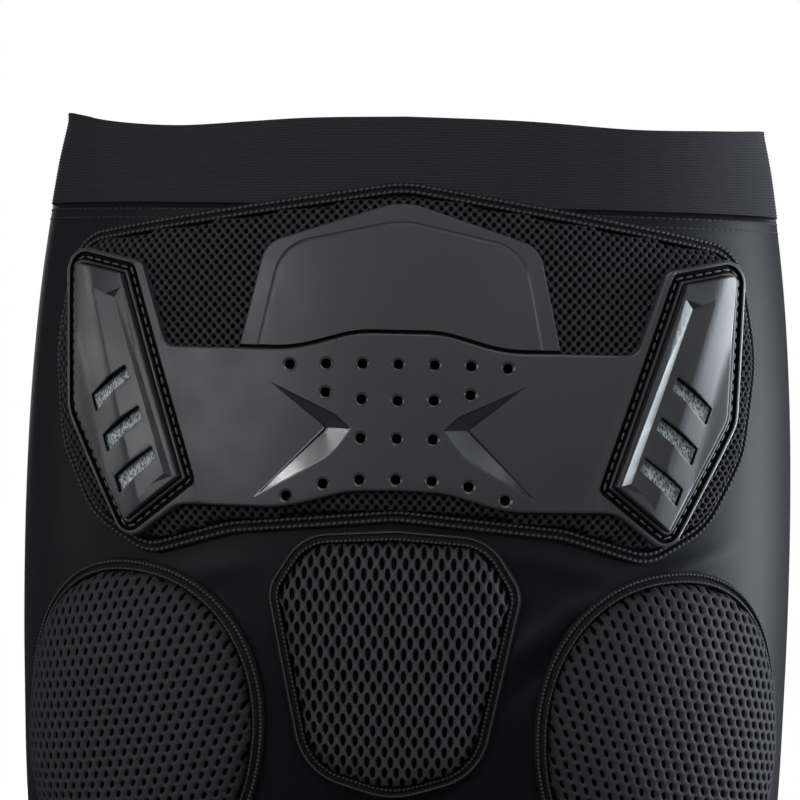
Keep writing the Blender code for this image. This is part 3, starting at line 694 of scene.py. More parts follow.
def rings_mesh(name, rings, fans=False):
    """A closed mesh through flat rings of equal count, from the bottom to the top.

    An end that isn't plane is closed with a fan round its first point."""
    if not is_clockwise(rings[0]):
        rings = [[ring[0]] + list(reversed(ring[1:])) for ring in rings]
    work = bmesh.new()
    rows = [[work.verts.new(point) for point in ring] for ring in rings]
    count = len(rows[0])
    if fans:
        for index in range(1, count - 1):
            work.faces.new((rows[0][0], rows[0][index], rows[0][index + 1]))
            work.faces.new((rows[-1][0], rows[-1][index + 1], rows[-1][index]))
    else:
        work.faces.new(rows[0])
        work.faces.new(list(reversed(rows[-1])))
    for low, high in zip(rows, rows[1:]):
        for index in range(count):
            after = (index + 1) % count
            work.faces.new((low[index], high[index], high[after], low[after]))
    return finished(work, name)


def flat_piece(name, corners, steps, base):
    """A flat piece whose outline steps in as it rises: steps of inset and height above the base."""
    return rings_mesh(name, [[(p.x, p.y, base + step.height) for p in rounded(grown(corners, -step.inset))]
                             for step in steps])


def flat_loft(name, low, high):
    """A closed mesh of plane triangles between two polygons of equal count."""
    work = opened(rings_mesh(name, [low, high], fans=True))
    bmesh.ops.triangulate(work, faces=work.faces[:])
    return finished(work, name)


def upright(height):
    return [Step(0, 0), Step(0, height)]


def round_edge(height, radius):
    """A plain edge that ends in a quarter round."""
    return [Step(0, 0)] + [Step(radius * (1 - cosine), height - radius * (1 - sine))
                           for cosine, sine in QUARTER]


def flared_cut(depth, radius, above):
    """A cut's steps from its floor up: straight, then flared round so that the rim it leaves is rounded."""
    flare = [Step(-radius * (1 - cosine), depth - radius * (1 - sine)) for cosine, sine in QUARTER]
    return [Step(0, 0)] + flare + [Step(-radius, depth + above)]


def placed(name, data):
    """A new object in the scene."""
    made = bpy.data.objects.new(name, data)
    bpy.context.scene.collection.objects.link(made)
    return made


def evaluated_mesh(part):
    bpy.context.view_layer.update()
    depsgraph = bpy.context.evaluated_depsgraph_get()
    return bpy.data.meshes.new_from_object(part.evaluated_get(depsgraph))


def settled(part):
    """The mesh that an object's modifiers make of it; the object goes."""
    mesh = evaluated_mesh(part)
    bpy.data.objects.remove(part)
    return mesh


def refine(part):
    finer = part.modifiers.new("finer", "SUBSURF")
    finer.levels = finer.render_levels = 1


def thicken(part, thickness):
    """Gives a sheet its thickness, inward."""
    wall = part.modifiers.new("wall", "SOLIDIFY")
    wall.thickness = thickness
    wall.offset = -1


def carved(mesh, joined=(), cut=()):
    """The flat mesh with some flat meshes joined to it and others cut from it."""
    blank = placed(mesh.name, mesh)
    tools = []
    for operation, meshes in (("UNION", joined), ("DIFFERENCE", cut)):
        for tool in meshes:
            tools.append(placed(tool.name, tool))
            modifier = blank.modifiers.new(tool.name, "BOOLEAN")
            modifier.operation = operation
            modifier.solver = "EXACT"
            modifier.object = tools[-1]
    result = settled(blank)
    for tool in tools:
        bpy.data.objects.remove(tool)
    return result


def joined_meshes(name, meshes):
    """One mesh of several loose ones."""
    work = bmesh.new()
    for mesh in meshes:
        work.from_mesh(mesh)
    return finished(work, name)


def weld(work, distance=WELD):
    bmesh.ops.remove_doubles(work, verts=work.verts[:], dist=distance)


def cut_across(work, place, normal):
    """Parts the mesh's faces along a plane."""
    everything = work.verts[:] + work.edges[:] + work.faces[:]
    bmesh.ops.bisect_plane(work, geom=everything, dist=ON_PLANE, plane_co=place, plane_no=normal)


def slice_mesh(work, pitch):
    """Cuts the mesh across and up at each multiple of the pitch, so that it can bend there."""
    for axis in (0, 1):
        values = [vertex.co[axis] for vertex in work.verts]
        normal = Vector((0, 0, 0))
        normal[axis] = 1
        for index in range(math.ceil(min(values) / pitch), math.floor(max(values) / pitch) + 1):
            cut_across(work, normal * index * pitch, normal)


def read(items, key):
    values = np.empty(len(items) * 3)
    items.foreach_get(key, values)
    return values.reshape(-1, 3)


def numbers(mesh):
    return read(mesh.vertices, "co")


def set_numbers(mesh, values):
    mesh.vertices.foreach_set("co", np.asarray(values, float).ravel())
    mesh.update()


def add_piece(name, mesh, material, slot, *nodes):
    """Adds a piece that rides with the part and stands for some of its nodes."""
    mesh.materials.clear()
    mesh.materials.append(material)
    piece = placed(name, mesh)
    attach(piece, "root")
    if nodes:
        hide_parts(*nodes)
    return piece


def inside(points, polygon):
    """Which flat points lie in a polygon."""
    x, y = points[:, 0], points[:, 1]
    result = np.zeros(len(points), bool)
    for (ax, ay), (bx, by) in zip(polygon, np.roll(polygon, -1, axis=0)):
        crosses = (ay > y) != (by > y)
        rise = by - ay if abs(by - ay) > TINY else TINY
        result ^= crosses & (x < (bx - ax) * (y - ay) / rise + ax)
    return result


def inside_any(points, outlines):
    """Which flat points lie in any of some outlines of corners."""
    return np.any([inside(points, region_of(outline)) for outline in outlines], axis=0)


def scored(mesh, lines):
    """The mesh cut along some upright planes, each a flat point and normal, so that it can bend there."""
    work = opened(mesh)
    for place, normal in lines:
        cut_across(work, (*place, 0), (*normal, 0))
    return finished(work, mesh.name)


def softened(mesh, chosen, width):
    """The mesh with the chosen edges bevelled."""
    work = opened(mesh)
    weld(work)
    edges = [edge for edge in work.edges if chosen(edge)]
    bmesh.ops.bevel(work, geom=edges, offset=width, segments=2, profile=0.5, affect="EDGES")
    return finished(work, mesh.name)


def moulded(name, mesh, material, slot, node, creases=None, linings=(), pitch=SLICE, shape=None):
    """Slices a flat moulding, bends it round the form and shades its roundings.

    Each lining is a test of the faces' middles and the material that the faces it finds get."""
    work = opened(mesh)
    weld(work)
    slice_mesh(work, pitch)
    bmesh.ops.triangulate(work, faces=[f for f in work.faces if len(f.verts) > 4])
    middles = np.array([face.calc_center_median() for face in work.faces])
    indices = np.zeros(len(middles), int)
    for number, (where, _) in enumerate(linings, start=1):
        indices[where(middles)] = number
    for face in work.faces:
        face.smooth = True
    for edge in work.edges:
        angle = edge.calc_face_angle(0.0)
        middle = (edge.verts[0].co + edge.verts[1].co) / 2
        edge.smooth = angle < SHARP and not (creases and creases(middle, angle))
    bent = finished(work, name)
    points = numbers(bent)
    set_numbers(bent, bend(shape(points) if shape else points))
    piece = add_piece(name, bent, material, slot, node)
    for _, lining in linings:
        bent.materials.append(lining)
    bent.polygons.foreach_set("material_index", indices)
    normals = piece.modifiers.new("normals", "WEIGHTED_NORMAL")
    normals.keep_sharp = True
    normals.weight = NORMAL_WEIGHT


def guard_point(share, out, side=1):
    """A flat point of the guard from its shares, on the right side or mirrored."""
    return (side * share[0] * GUARD_WIDTH / 2, share[1] * GUARD_HEIGHT + GUARD_LEVEL, out)


def flat_guard(share):
    return Vector(guard_point(share, 0)[:2])


def guard_corners(outline):
    return scaled(outline, GUARD_WIDTH / 2, GUARD_HEIGHT, GUARD_LEVEL)


def edge_line(top, bottom, turn=1):
    """A line on the guard's right: its top end, and the direction square to it, inward or at -1 outward."""
    top, bottom = flat_guard(top), flat_guard(bottom)
    down = (bottom - top).normalized()
    return top, turn * Vector((down.y, -down.x))


# The flange beside the panel, and the crest and the inner wall of the panel's recess
LIP_LINE = edge_line(SEAT_OUTLINE[0], SEAT_OUTLINE[-1])
CREST_LINE = edge_line(CREST_TOP, CREST_BOTTOM, -1)
WALL_LINE = edge_line(WALL_TOP, WALL_BOTTOM)


def past(points, line):
    """How far flat points of either side lie past a line."""
    top, across = line
    return (np.abs(points[:, 0]) - top.x) * across.x + (points[:, 1] - top.y) * across.y


def planes_past(line, reach, shares, sides):
    """Upright planes along a line, at shares of a reach past it."""
    top, across = line
    planes = []
    for share in shares:
        place = top + across * reach * share
        for side in sides:
            planes.append([Vector((side * flat.x, flat.y)) for flat in (place, across)])
    return planes


def facing_side(corners, side):
    """The right side's outline as it is, or mirrored and still clockwise."""
    if side > 0:
        return corners
    return [Corner(-c.across, c.up, c.radius) for c in reversed(corners)]


# Whole outlines of the band, the plate and the plate's raised field
BAND = guard_corners(mirrored(GUARD_OUTLINE))
BAND_TOP = GUARD_OUTLINE[0].up * GUARD_HEIGHT + GUARD_LEVEL
PLATE_TOP = BAND_TOP + PLATE_RISE
PLATE_HEIGHT = PLATE_RISE + PLATE_TUCK
PLATE = scaled(mirrored(PLATE_OUTLINE), PLATE_WIDTH / 2, PLATE_HEIGHT, PLATE_TOP)
FIELD = scaled(mirrored(FIELD_OUTLINE), PLATE_WIDTH / 2 - FIELD_MARGIN, PLATE_HEIGHT - 1.5 * FIELD_MARGIN,
               PLATE_TOP - FIELD_MARGIN)


def hole_places(rows):
    """Centres of the band's holes, the rows curved like the band."""
    places = []
    for row in rows:
        half = (row.count - 1) / 2
        for index in range(row.count):
            step = index - half
            sag = row.sag * HOLE_PITCH * abs(step / half) ** 3
            places.append((step * HOLE_PITCH, row.up * GUARD_HEIGHT + GUARD_LEVEL - sag))
    return places


def hole_cutter(across, level):
    """A round hole whose rim is dished where it meets the band's face."""
    radius = HOLE_DIAMETER / 2
    profile = [(radius, PLATE_BASE - GUARD_THICKNESS), (radius, GUARD_FACE - HOLE_BEVEL_DEPTH)]
    for share in (0.5, 1.0):
        depth = HOLE_BEVEL_DEPTH * (1 - share ** HOLE_DISH_POWER)
        profile.append((radius + HOLE_BEVEL * share, GUARD_FACE - depth))
    profile.append((profile[-1][0], GUARD_FACE + HOLE_BEVEL))
    angles = [-2 * math.pi * (side + 0.5) / HOLE_SIDES for side in range(HOLE_SIDES)]
    return rings_mesh("hole", [[(across + reach * math.cos(angle), level + reach * math.sin(angle), out)
                                for angle in angles] for reach, out in profile])


def chevron_corners(side):
    return facing_side(guard_corners(CHEVRON_OUTLINE), side)


def chevron_cutter(side):
    """A bent wedge with a rounded rim, its floor falling from both arms' outer edge to the inner elbow."""
    radius = CHEVRON_EDGE_RADIUS
    rings = []
    for cosine, sine in QUARTER:
        outline = rounded(grown(chevron_corners(side), radius * (1 + cosine)))
        rings.append([(p.x, p.y, GUARD_FACE - radius * (1 - sine)) for p in outline])
    rings.append([(p[0], p[1], GUARD_FACE + GUARD_THICKNESS) for p in rings[-1]])
    elbow = Vector(guard_point(CHEVRON_OUTLINE[0], GUARD_FACE - CHEVRON_DEPTH, side))
    nearest = min(range(len(rings[0])), key=lambda i: (Vector(rings[0][i]) - elbow).length)
    rings = [ring[nearest:] + ring[:nearest] for ring in rings]
    rings[0][0] = (*rings[0][0][:2], elbow.z)
    return rings_mesh("chevron", rings, fans=True)


def chevron_creases(middle, angle):
    """The creases between the planes of a chevron's floor."""
    left, right, low, high = CHEVRON_BOX
    share = abs(middle.x) / (GUARD_WIDTH / 2)
    level = (middle.y - GUARD_LEVEL) / GUARD_HEIGHT
    roof = GUARD_FACE - CHEVRON_EDGE_RADIUS * (1 + FLOOR_START)
    below = GUARD_FACE - CHEVRON_DEPTH - GAP < middle.z < roof
    return left < share < right and low < level < high and below and angle > CREASE


def panel_seat(side):
    return facing_side(guard_corners(SEAT_OUTLINE), side)


def groove_cutter(side):
    """A ring cut round the panel seat, open to the outer face, with a rounded outer rim."""
    outer = flat_piece("groove", panel_seat(side), flared_cut(GROOVE_DEPTH, GROOVE_EDGE, GUARD_THICKNESS),
                       GUARD_FACE - GROOVE_DEPTH)
    core = flat_piece("core", grown(panel_seat(side), -RIM_INSET), upright(3 * GUARD_THICKNESS),
                      GUARD_FACE - GUARD_THICKNESS)
    return carved(outer, cut=[core])


def flange_lips(points):
    """Lets the band's face swell a little towards the seam along each panel."""
    points = points.copy()
    beyond = past(points, LIP_LINE)
    swell = np.where(beyond > -GAP, smooth(1 - beyond / LIP_WIDTH), 0)
    share = np.clip((points[:, 2] - GUARD_FACE) / GROOVE_DEPTH + 1, 0, 1)
    points[:, 2] += LIP_HEIGHT * swell * share
    return points


def in_seats(points, margin):
    """Which flat points lie in either panel's seat, grown by a margin."""
    return inside_any(points, [grown(panel_seat(side), margin) for side in (1, -1)])


def in_groove(middles):
    """The faces down in the grooves round the panels, lined near black as painted shade."""
    found = in_seats(middles, GAP / 2)
    return found & (middles[:, 2] < GUARD_FACE - GROOVE_START * GROOVE_EDGE)


def in_valley(middles):
    """The faces between a panel's rim and its raised body, lined near black as painted shade."""
    found = in_seats(middles, GAP / 2 - RIM_INSET - RIM_WIDTH)
    return found & (np.abs(middles[:, 2] - VALLEY) < GAP)


def in_slots(middles):
    """The walls of the slots, below their bevels, lined near black as painted shade."""
    return inside_any(middles, [grown(outline, SLOT_EDGE / 15) for outline in slots(1) + slots(-1)])


def in_hole_rims(middles):
    """The bevels of the holes, which get a lighter plastic as a painted highlight."""
    centres = np.array(hole_places(HOLE_ROWS))
    away = np.linalg.norm(middles[:, None, :2] - centres[None], axis=2).min(axis=1)
    dished = (middles[:, 2] > GUARD_FACE - HOLE_BEVEL_DEPTH) & (middles[:, 2] < GUARD_FACE - GAP / 20)
    return dished & (away > HOLE_DIAMETER / 2) & (away < HOLE_DIAMETER / 2 + HOLE_BEVEL)


def in_band_edge(middles):
    """The rounding round the band's outline, which gets a lighter plastic as a painted highlight."""
    return ~inside_any(middles, [grown(BAND, -EDGE_SHARE * GUARD_EDGE)])


def in_chevron_rims(side):
    """A test for the roundings along a chevron's lower arm, which get a lighter plastic as a painted
    highlight.
    """
    radius = CHEVRON_EDGE_RADIUS
    outer, inner = [region_of(grown(chevron_corners(side), share * radius)) for share in RIM_SHARES]
    elbow = flat_guard(CHEVRON_OUTLINE[0]).y

    def found(middles):
        high = middles[:, 2] > GUARD_FACE - RIM_DEPTH * radius
        return high & inside(middles, outer) & ~inside(middles, inner) & (middles[:, 1] < elbow)
    return found


def in_chevrons(middles):
    """The floors of the chevrons."""
    margin = RIM_SHARES[0] * CHEVRON_EDGE_RADIUS
    found = inside_any(middles, [grown(chevron_corners(side), margin) for side in (1, -1)])
    return found & (middles[:, 2] < GUARD_FACE - CHEVRON_EDGE_RADIUS * FLOOR_START)


def in_channel(middles):
    """The faces of the plate's channel along the band, lined near black as the band's painted shadow."""
    found = inside_any(middles, [grown(BAND, CHANNEL_WIDTH + GAP / 2)])
    return found & (middles[:, 2] < FIELD_FACE - 2 * GAP)


def build_hip_band(materials):
    """The cross band with its two flanges, bored, and recessed for the plate that tucks under it."""
    blank = flat_piece("hip_band", BAND, round_edge(GUARD_THICKNESS, GUARD_EDGE), PLATE_BASE)
    below = PLATE_BASE - GUARD_THICKNESS
    cuts = [flat_piece("rebate", grown(PLATE, 2 * GAP), upright(FIELD_FACE + GAP - below), below)]
    cuts.append(joined_meshes("holes", [hole_cutter(*place) for place in hole_places(HOLE_ROWS)]))
    for side in (1, -1):
        cuts.append(chevron_cutter(side))
        cuts.append(groove_cutter(side))
        window = grown(panel_seat(side), -PANEL_INSET)
        cuts.append(flat_piece("window", window, upright(3 * GUARD_THICKNESS), below))
    # A glossier plastic, lighter as a painted highlight, for the holes' rims, the band's edge and the right
    # chevron's rims
    edge = materials["edge_plastic"]
    linings = [
        # Painted shade: the grooves are lined near black
        (in_groove, materials["channel"]),
        (in_chevrons, materials["polished_plastic"]),
        (in_hole_rims, edge),
        (in_band_edge, edge),
        # The left chevron's rims get a much lighter plastic: a painted glint
        (in_chevron_rims(-1), materials["bright_plastic"]),
        (in_chevron_rims(1), edge),
    ]
    mesh = scored(carved(blank, cut=cuts), planes_past(LIP_LINE, LIP_WIDTH, LIP_CUTS, (1, -1)))
    moulded("band_moulding", mesh, materials["plate_plastic"], "plate_plastic", "hip_band",
            chevron_creases, linings, shape=flange_lips)


def build_upper_plate(materials):
    """A thin plate with a raised field, bored in line with the band's top row."""
    base = flat_piece("plate", PLATE, round_edge(PLATE_THICKNESS, PLATE_EDGE), PLATE_BASE)
    rise = FIELD_THICKNESS - PLATE_THICKNESS / 2
    steps = upright(PLATE_THICKNESS / 2) + [Step(x * FIELD_BEVEL, rise * y) for x, y in FIELD_CURVE]
    field = flat_piece("field", FIELD, steps, PLATE_BASE + PLATE_THICKNESS / 2)
    holes = joined_meshes("holes", [hole_cutter(*place) for place in hole_places(HOLE_ROWS[:1])])
    channel = flat_piece("channel", grown(BAND, CHANNEL_WIDTH), upright(GUARD_THICKNESS),
                         PLATE_BASE + CHANNEL_FLOOR)
    mesh = carved(base, joined=[field], cut=[holes, channel])
    # The channel's faces are lined near black: the band's painted shadow
    moulded("plate_moulding", mesh, materials["plate_plastic"], "plate_plastic", "upper_plate",
            linings=[(in_channel, materials["channel"])])


def slots(side):
    """The slots' corners, clockwise: a slanting line along each, and ends in line with the panel's side."""
    along = Vector((math.cos(SLOT_ANGLE), math.sin(SLOT_ANGLE)))
    aside = Vector((math.cos(SLOT_SIDE_ANGLE), math.sin(SLOT_SIDE_ANGLE)))
    outlines = []
    for index in range(SLOT_COUNT):
        start = flat_guard(SLOT_START) + aside * SLOT_PITCH * index
        far = start + along * SLOT_LENGTH
        wide, narrow = SLOT_WIDTH * (1 + SLOT_FLARE), SLOT_WIDTH * (1 - SLOT_FLARE)
        points = [start, far, far + aside * wide, start + aside * narrow]
        outlines.append(facing_side([Corner(p.x, p.y, SLOT_WIDTH * SLOT_CORNER) for p in points], side))
    return outlines


def recess_cutter(side, face):
    """A wedge: deep along the inner side, running out at the crest, with a sloping inner wall."""
    crest, outward = CREST_LINE
    above = face + GUARD_THICKNESS
    low, high = [], []
    pairs = ((FOOT_TOP, WALL_TOP), (CREST_TOP, None), (CREST_BOTTOM, None), (FOOT_BOTTOM, WALL_BOTTOM))
    for foot, wall in pairs:
        place = flat_guard(foot)
        depth = RECESS_RATE * max((crest - place).dot(outward), 0)
        low.append((side * place.x, place.y, face - depth + (0 if wall else GAP / 2)))
        if wall:
            place = place + (flat_guard(wall) - place) * (depth + GUARD_THICKNESS) / depth
        high.append((side * place.x, place.y, above))
    return flat_loft("recess", low, high)


def ramp(beyond, start):
    """A slope of one that starts softly."""
    return np.where(beyond < start, beyond ** 2 / (2 * start), beyond - start / 2)


def panel_slopes(points):
    """Lets a panel fall away from the crest of its recess, and from the rim of its inner wall."""
    points = points.copy()
    drop = SLOPE_RATE * ramp(np.clip(past(points, CREST_LINE) + SLOPE_START / 2, 0, None), SLOPE_START)
    drop += INNER_RATE * ramp(np.clip(past(points, WALL_LINE), 0, None), INNER_START)
    share = np.minimum(drop / (PANEL_BASE + PANEL_THICKNESS - VALLEY), SLOPE_MOST)
    points[:, 2] -= np.clip(points[:, 2] - VALLEY, 0, None) * share
    return points


def slot_rim(side):
    """A test for the edges where a slot meets the panel's face."""
    regions = [region_of(grown(outline, GAP)) for outline in slots(side)]

    def found(edge):
        if len(edge.link_faces) != 2:
            return False
        steep, flat = sorted((face.normal.z for face in edge.link_faces), key=abs)
        middle = np.array([(edge.verts[0].co + edge.verts[1].co)[:]]) / 2
        meets = abs(steep) < STEEP and flat > FLAT
        return meets and any(inside(middle, region)[0] for region in regions)
    return found


def build_side_panel(suffix, side, materials):
    """A raised panel on its own thin rim, with a wedge recess, three slots and an outer slope."""
    seat = panel_seat(side)
    rim_steps = round_edge(SEAM_THICKNESS, RIM_EDGE)
    for cosine, sine in QUARTER[1:]:
        rim_steps.append(Step(RIM_WIDTH - RIM_EDGE * (1 - sine), SEAM_THICKNESS - RIM_EDGE * (1 - cosine)))
    rim = flat_piece("panel", grown(seat, -RIM_INSET), rim_steps, PANEL_BASE)
    sunk = SEAM_THICKNESS / 4
    body = flat_piece("raised", grown(seat, -PANEL_INSET), round_edge(PANEL_THICKNESS - sunk, PANEL_EDGE),
                      PANEL_BASE + sunk)
    cuts = [recess_cutter(side, PANEL_BASE + PANEL_THICKNESS)]
    for outline in slots(side):
        cuts.append(flat_piece("slot", outline, upright(3 * PANEL_THICKNESS), PANEL_BASE - PANEL_THICKNESS))
    mesh = softened(carved(rim, joined=[body], cut=cuts), slot_rim(side), SLOT_EDGE)
    planes = planes_past(CREST_LINE, SLOPE_START, CREST_CUTS, (side,))
    planes += planes_past(WALL_LINE, INNER_START, WALL_CUTS, (side,))
    # The valleys and the slots' walls are lined near black: painted shade
    linings = [(test, materials["channel"]) for test in (in_valley, in_slots)]
    moulded("panel_moulding_" + suffix, scored(mesh, planes), materials["panel_plastic"], "panel_plastic",
            "side_panel_" + suffix, linings=linings, pitch=PANEL_SLICE, shape=panel_slopes)


def grid_faces(rows, columns):
    """Faces of a grid of vertices, row after row, each row a loop."""
    row, column = np.meshgrid(np.arange(rows - 1), np.arange(columns), indexing="ij")
    after = (column + 1) % columns
    low, high = row * columns, (row + 1) * columns
    return np.stack([low + column, low + after, high + after, high + column], axis=-1).reshape(-1, 4)


def mesh_of(name, points, faces):
    mesh = bpy.data.meshes.new(name)
    mesh.from_pydata(np.asarray(points).reshape(-1, 3).tolist(), [], [list(face) for face in faces])
    mesh.update()
    mesh.shade_smooth()
    return mesh


def set_shades(mesh, shades):
    mesh.attributes.new("shade", "FLOAT", "POINT").data.foreach_set("value", shades)


def area_of(mesh):
    return sum(face.area for face in mesh.polygons)


def build_slot_cloth(suffix, side, material):
    """The woven cloth in the flange's window, held just under the panel."""
    polygon = region_of(grown(panel_seat(side), -(PANEL_INSET + 2 * GAP)))
    work = bmesh.new()
    work.faces.new([work.verts.new((x, y, GUARD_FACE - CLOTH_SINK)) for x, y in polygon])
    slice_mesh(work, SLICE / 4)
    mesh = finished(work, "slot_weave_" + suffix)
    mesh.shade_smooth()
    set_numbers(mesh, bend(numbers(mesh)))
    cloth = add_piece("slot_weave_" + suffix, mesh, material, "slot_cloth", "slot_cloth_" + suffix)


def girth(levels, steps):
    """Whole torso sections by level: the right half from back to front, then the left half back."""
    turns = even_turns(steps)
    rings = []
    for level in levels:
        x, y = half_section(level, turns)
        right = np.stack([x, y, np.full_like(x, level)], axis=1)
        rings.append(np.concatenate([right, right[-2:0:-1] * (-1, 1, 1)]))
    return np.array(rings)


def build_elastic(material):
    """The elastic band: fine horizontal ribs, and a top edge that waves a little round the waist."""
    count = 2 * BAND_STEPS
    levels = np.linspace(SEAM_LEVEL - BAND_BELOW, TOP_LEVEL + BAND_ABOVE, BAND_LEVELS)
    rings = girth(levels, BAND_STEPS)
    top = np.array([smooth_table(WAIST_EDGE, index / count)[0] for index in range(count)])
    rows = RIB_COUNT * RIB_ROWS + 1
    columns = np.arange(count)
    points, shades = [], []
    for row in range(rows):
        share = row / (rows - 1)
        level = SEAM_LEVEL + GAP + (top - SEAM_LEVEL - GAP) * share
        place = (level - levels[0]) / (levels[1] - levels[0])
        low = place.astype(int)
        part = (place - low)[:, None]
        ring = rings[low, columns] * (1 - part) + rings[low + 1, columns] * part
        along = np.roll(ring, -1, axis=0) - np.roll(ring, 1, axis=0)
        out = units(np.stack([along[:, 1], -along[:, 0], np.zeros(count)], axis=1))
        rib = 0.5 - 0.5 * math.cos(2 * math.pi * row / RIB_ROWS + RIB_PHASE)
        points.append(ring + out * (RIB_HEIGHT * rib + GAP))
        # Painted shade: the yarn is darker towards each rib's hollow
        shades += [1 - RIB_SHADE * (1 - rib)] * count
    mesh = mesh_of("elastic_band", points, grid_faces(rows, count))
    set_shades(mesh, shades)
    band = add_piece("elastic_band", mesh, material, "elastic", "waistband")
    thicken(band, BAND_THICKNESS)


def between(start, end):
    """The inner points of an evenly parted line: each one's share, place and how far it hangs down."""
    for step in range(1, INNER_STEPS + 1):
        share = step / (INNER_STEPS + 1)
        yield share, start.lerp(end, share), CROTCH_DROP * math.sin(math.pi * share)


def leg_ring(level, share):
    """A ring of the right leg: round its outside from the back, then back along its inner side."""
    x, y = half_section(level, even_turns(HALF_STEPS))
    ring = [(a, b, level) for a, b in zip(x, y)]
    blend = float(leg_blend(level, 0.0))
    for part, flat, dip in between(Vector(ring[-1]), Vector(ring[0])):
        a, b = leg_points(level, math.pi - INNER_ANGLE + 2 * INNER_ANGLE * part)
        ring.append(tuple(flat.lerp(Vector((a, b, level)), blend) - Vector((0, 0, dip * (1 - share)))))
    return ring


def short_sheet():
    """The short as an open sheet: torso rows, a crotch line, then two legs that share it."""
    count = 2 * HALF_STEPS
    levels = SEAM_LEVEL + (CROTCH_LEVEL - SEAM_LEVEL) * np.linspace(0, 1, TORSO_ROWS + 1)
    points = girth(levels, HALF_STEPS).reshape(-1, 3).tolist()
    faces = [list(reversed(face)) for face in grid_faces(TORSO_ROWS + 1, count).tolist()]
    crotch = TORSO_ROWS * count
    front, back = Vector(points[crotch + HALF_STEPS]), Vector(points[crotch])
    line = [len(points) + step for step in range(INNER_STEPS)]
    points += [tuple(flat - Vector((0, 0, dip))) for _, flat, dip in between(front, back)]
    for side in (1, -1):
        above = [crotch + (side * index) % count for index in range(HALF_STEPS + 1)] + line
        for row in range(1, LEG_ROWS + 1):
            share = row / LEG_ROWS
            ring = leg_ring(CROTCH_LEVEL - INSEAM * share, share)
            below = [len(points) + index for index in range(len(ring))]
            points += [(side * a, b, c) for a, b, c in ring]
            for index in range(len(ring)):
                after = (index + 1) % len(ring)
                face = (below[index], below[after], above[after], above[index])
                faces.append(face if side > 0 else face[::-1])
            above = below
    mesh = bpy.data.meshes.new("stretch_short")
    mesh.from_pydata(points, [], faces)
    mesh.update()
    return mesh


# Folds of the stretch cloth, in millimetres across and up: a soft ridge from one place to another, and the
# share of a half wave that each end lacks
FOLD_END = 0.05
Fold = namedtuple("Fold", "from_across from_up to_across to_up width height")
FOLDS = [
    Fold(38, -164, 96, -176, 5, 1.6),
    Fold(44, -216, 76, -189, 4.5, 3.2),
    Fold(70, -192, 104, -180, 4.5, 2.8),
    Fold(96, -182, 150, -163, 4.5, 2.8),
    Fold(47, -232, 68, -209, 4, -2.2),
    Fold(-60, -172, -96, -180, 5, 1.2),
    Fold(60, -23, 150, -27, 4, 0.8),
    Fold(-120, -24, -150, -44, 5, 1.4),
]
FRONT_FOLDS = [
    Fold(14, -262, 74, -236, 6, 2.2),
    Fold(-14, -262, -70, -232, 6, 2.2),
    Fold(10, -278, 96, -272, 5, 1.8),
    Fold(-10, -278, -92, -268, 5, 1.8),
    Fold(24, -300, 90, -318, 6, 1.8),
    Fold(-26, -302, -84, -324, 6, 1.8),
    Fold(-60, -28, -110, -40, 5, 1.2),
    Fold(70, -30, 120, -36, 5, 1.2),
    Fold(60, -408, 130, -398, 5, 1.2),
    Fold(-64, -404, -120, -412, 5, 1.2),
]


def folded(points):
    """Lifts the cloth's points outward along the folds of the back and of the front."""
    back = points[:, 1] < 0
    points[:, 1] -= np.where(back, lifts(points, FOLDS), -lifts(points, FRONT_FOLDS))
    return points


def lifts(points, folds):
    """How far some folds lift each point."""
    lift = np.zeros(len(points))
    spot = points[:, [0, 2]] * 1000
    for fold in folds:
        start, end = np.array(fold[:2]), np.array(fold[2:4])
        run = end - start
        share = np.clip(((spot - start) @ run) / (run @ run), 0, 1)
        away = np.linalg.norm(spot - start - share[:, None] * run, axis=1)
        fade = np.sin(np.pi * (share * (1 - 2 * FOLD_END) + FOLD_END))
        lift += fold.height / 1000 * np.exp(-(away / fold.width) ** 2) * fade
    return lift


def build_short(material):
    """The stretch short, softened at the crotch, folded where the seat pads pull it."""
    blank = placed("blank", short_sheet())
    soft = blank.vertex_groups.new(name="crotch")
    for vertex in blank.data.vertices:
        reach = abs(vertex.co.x) / CROTCH_REACH
        if reach < 1 and CROTCH_LEVEL - INSEAM * CROTCH_SHARE < vertex.co.z < CROTCH_LEVEL + CROTCH_REACH:
            soft.add([vertex.index], float(smooth((1 - reach) * 2)), "REPLACE")
    soften = blank.modifiers.new("soften", "SMOOTH")
    soften.factor = CROTCH_FORCE
    soften.iterations = CROTCH_PASSES
    soften.vertex_group = soft.name
    refine(blank)
    mesh = settled(blank)
    mesh.name = "stretch_short"
    mesh.shade_smooth()
    set_numbers(mesh, folded(numbers(mesh)))
    short = add_piece("stretch_short", mesh, material, "body_fabric", "shorts_body")
    thicken(short, CLOTH_THICKNESS)
    return mesh


def split_sides(rings, pitch):
    """Rings of equal count, their sides split alike, none longer than the pitch on the first ring."""
    first = rings[0]
    shares = [np.arange(math.ceil(np.linalg.norm(first[(i + 1) % len(first)] - first[i]) / pitch))
              for i in range(len(first))]
    result = []
    for ring in rings:
        after = np.roll(ring, -1, axis=0)
        result.append(np.concatenate([ring[i] + (after[i] - ring[i]) * (s / max(len(s), 1))[:, None]
                                      for i, s in enumerate(shares) if len(s)]))
    return result


def cornered_rings(corners, insets):
    return split_sides([region_of(grown(corners, -inset)) for inset in insets], SIDE_PITCH)


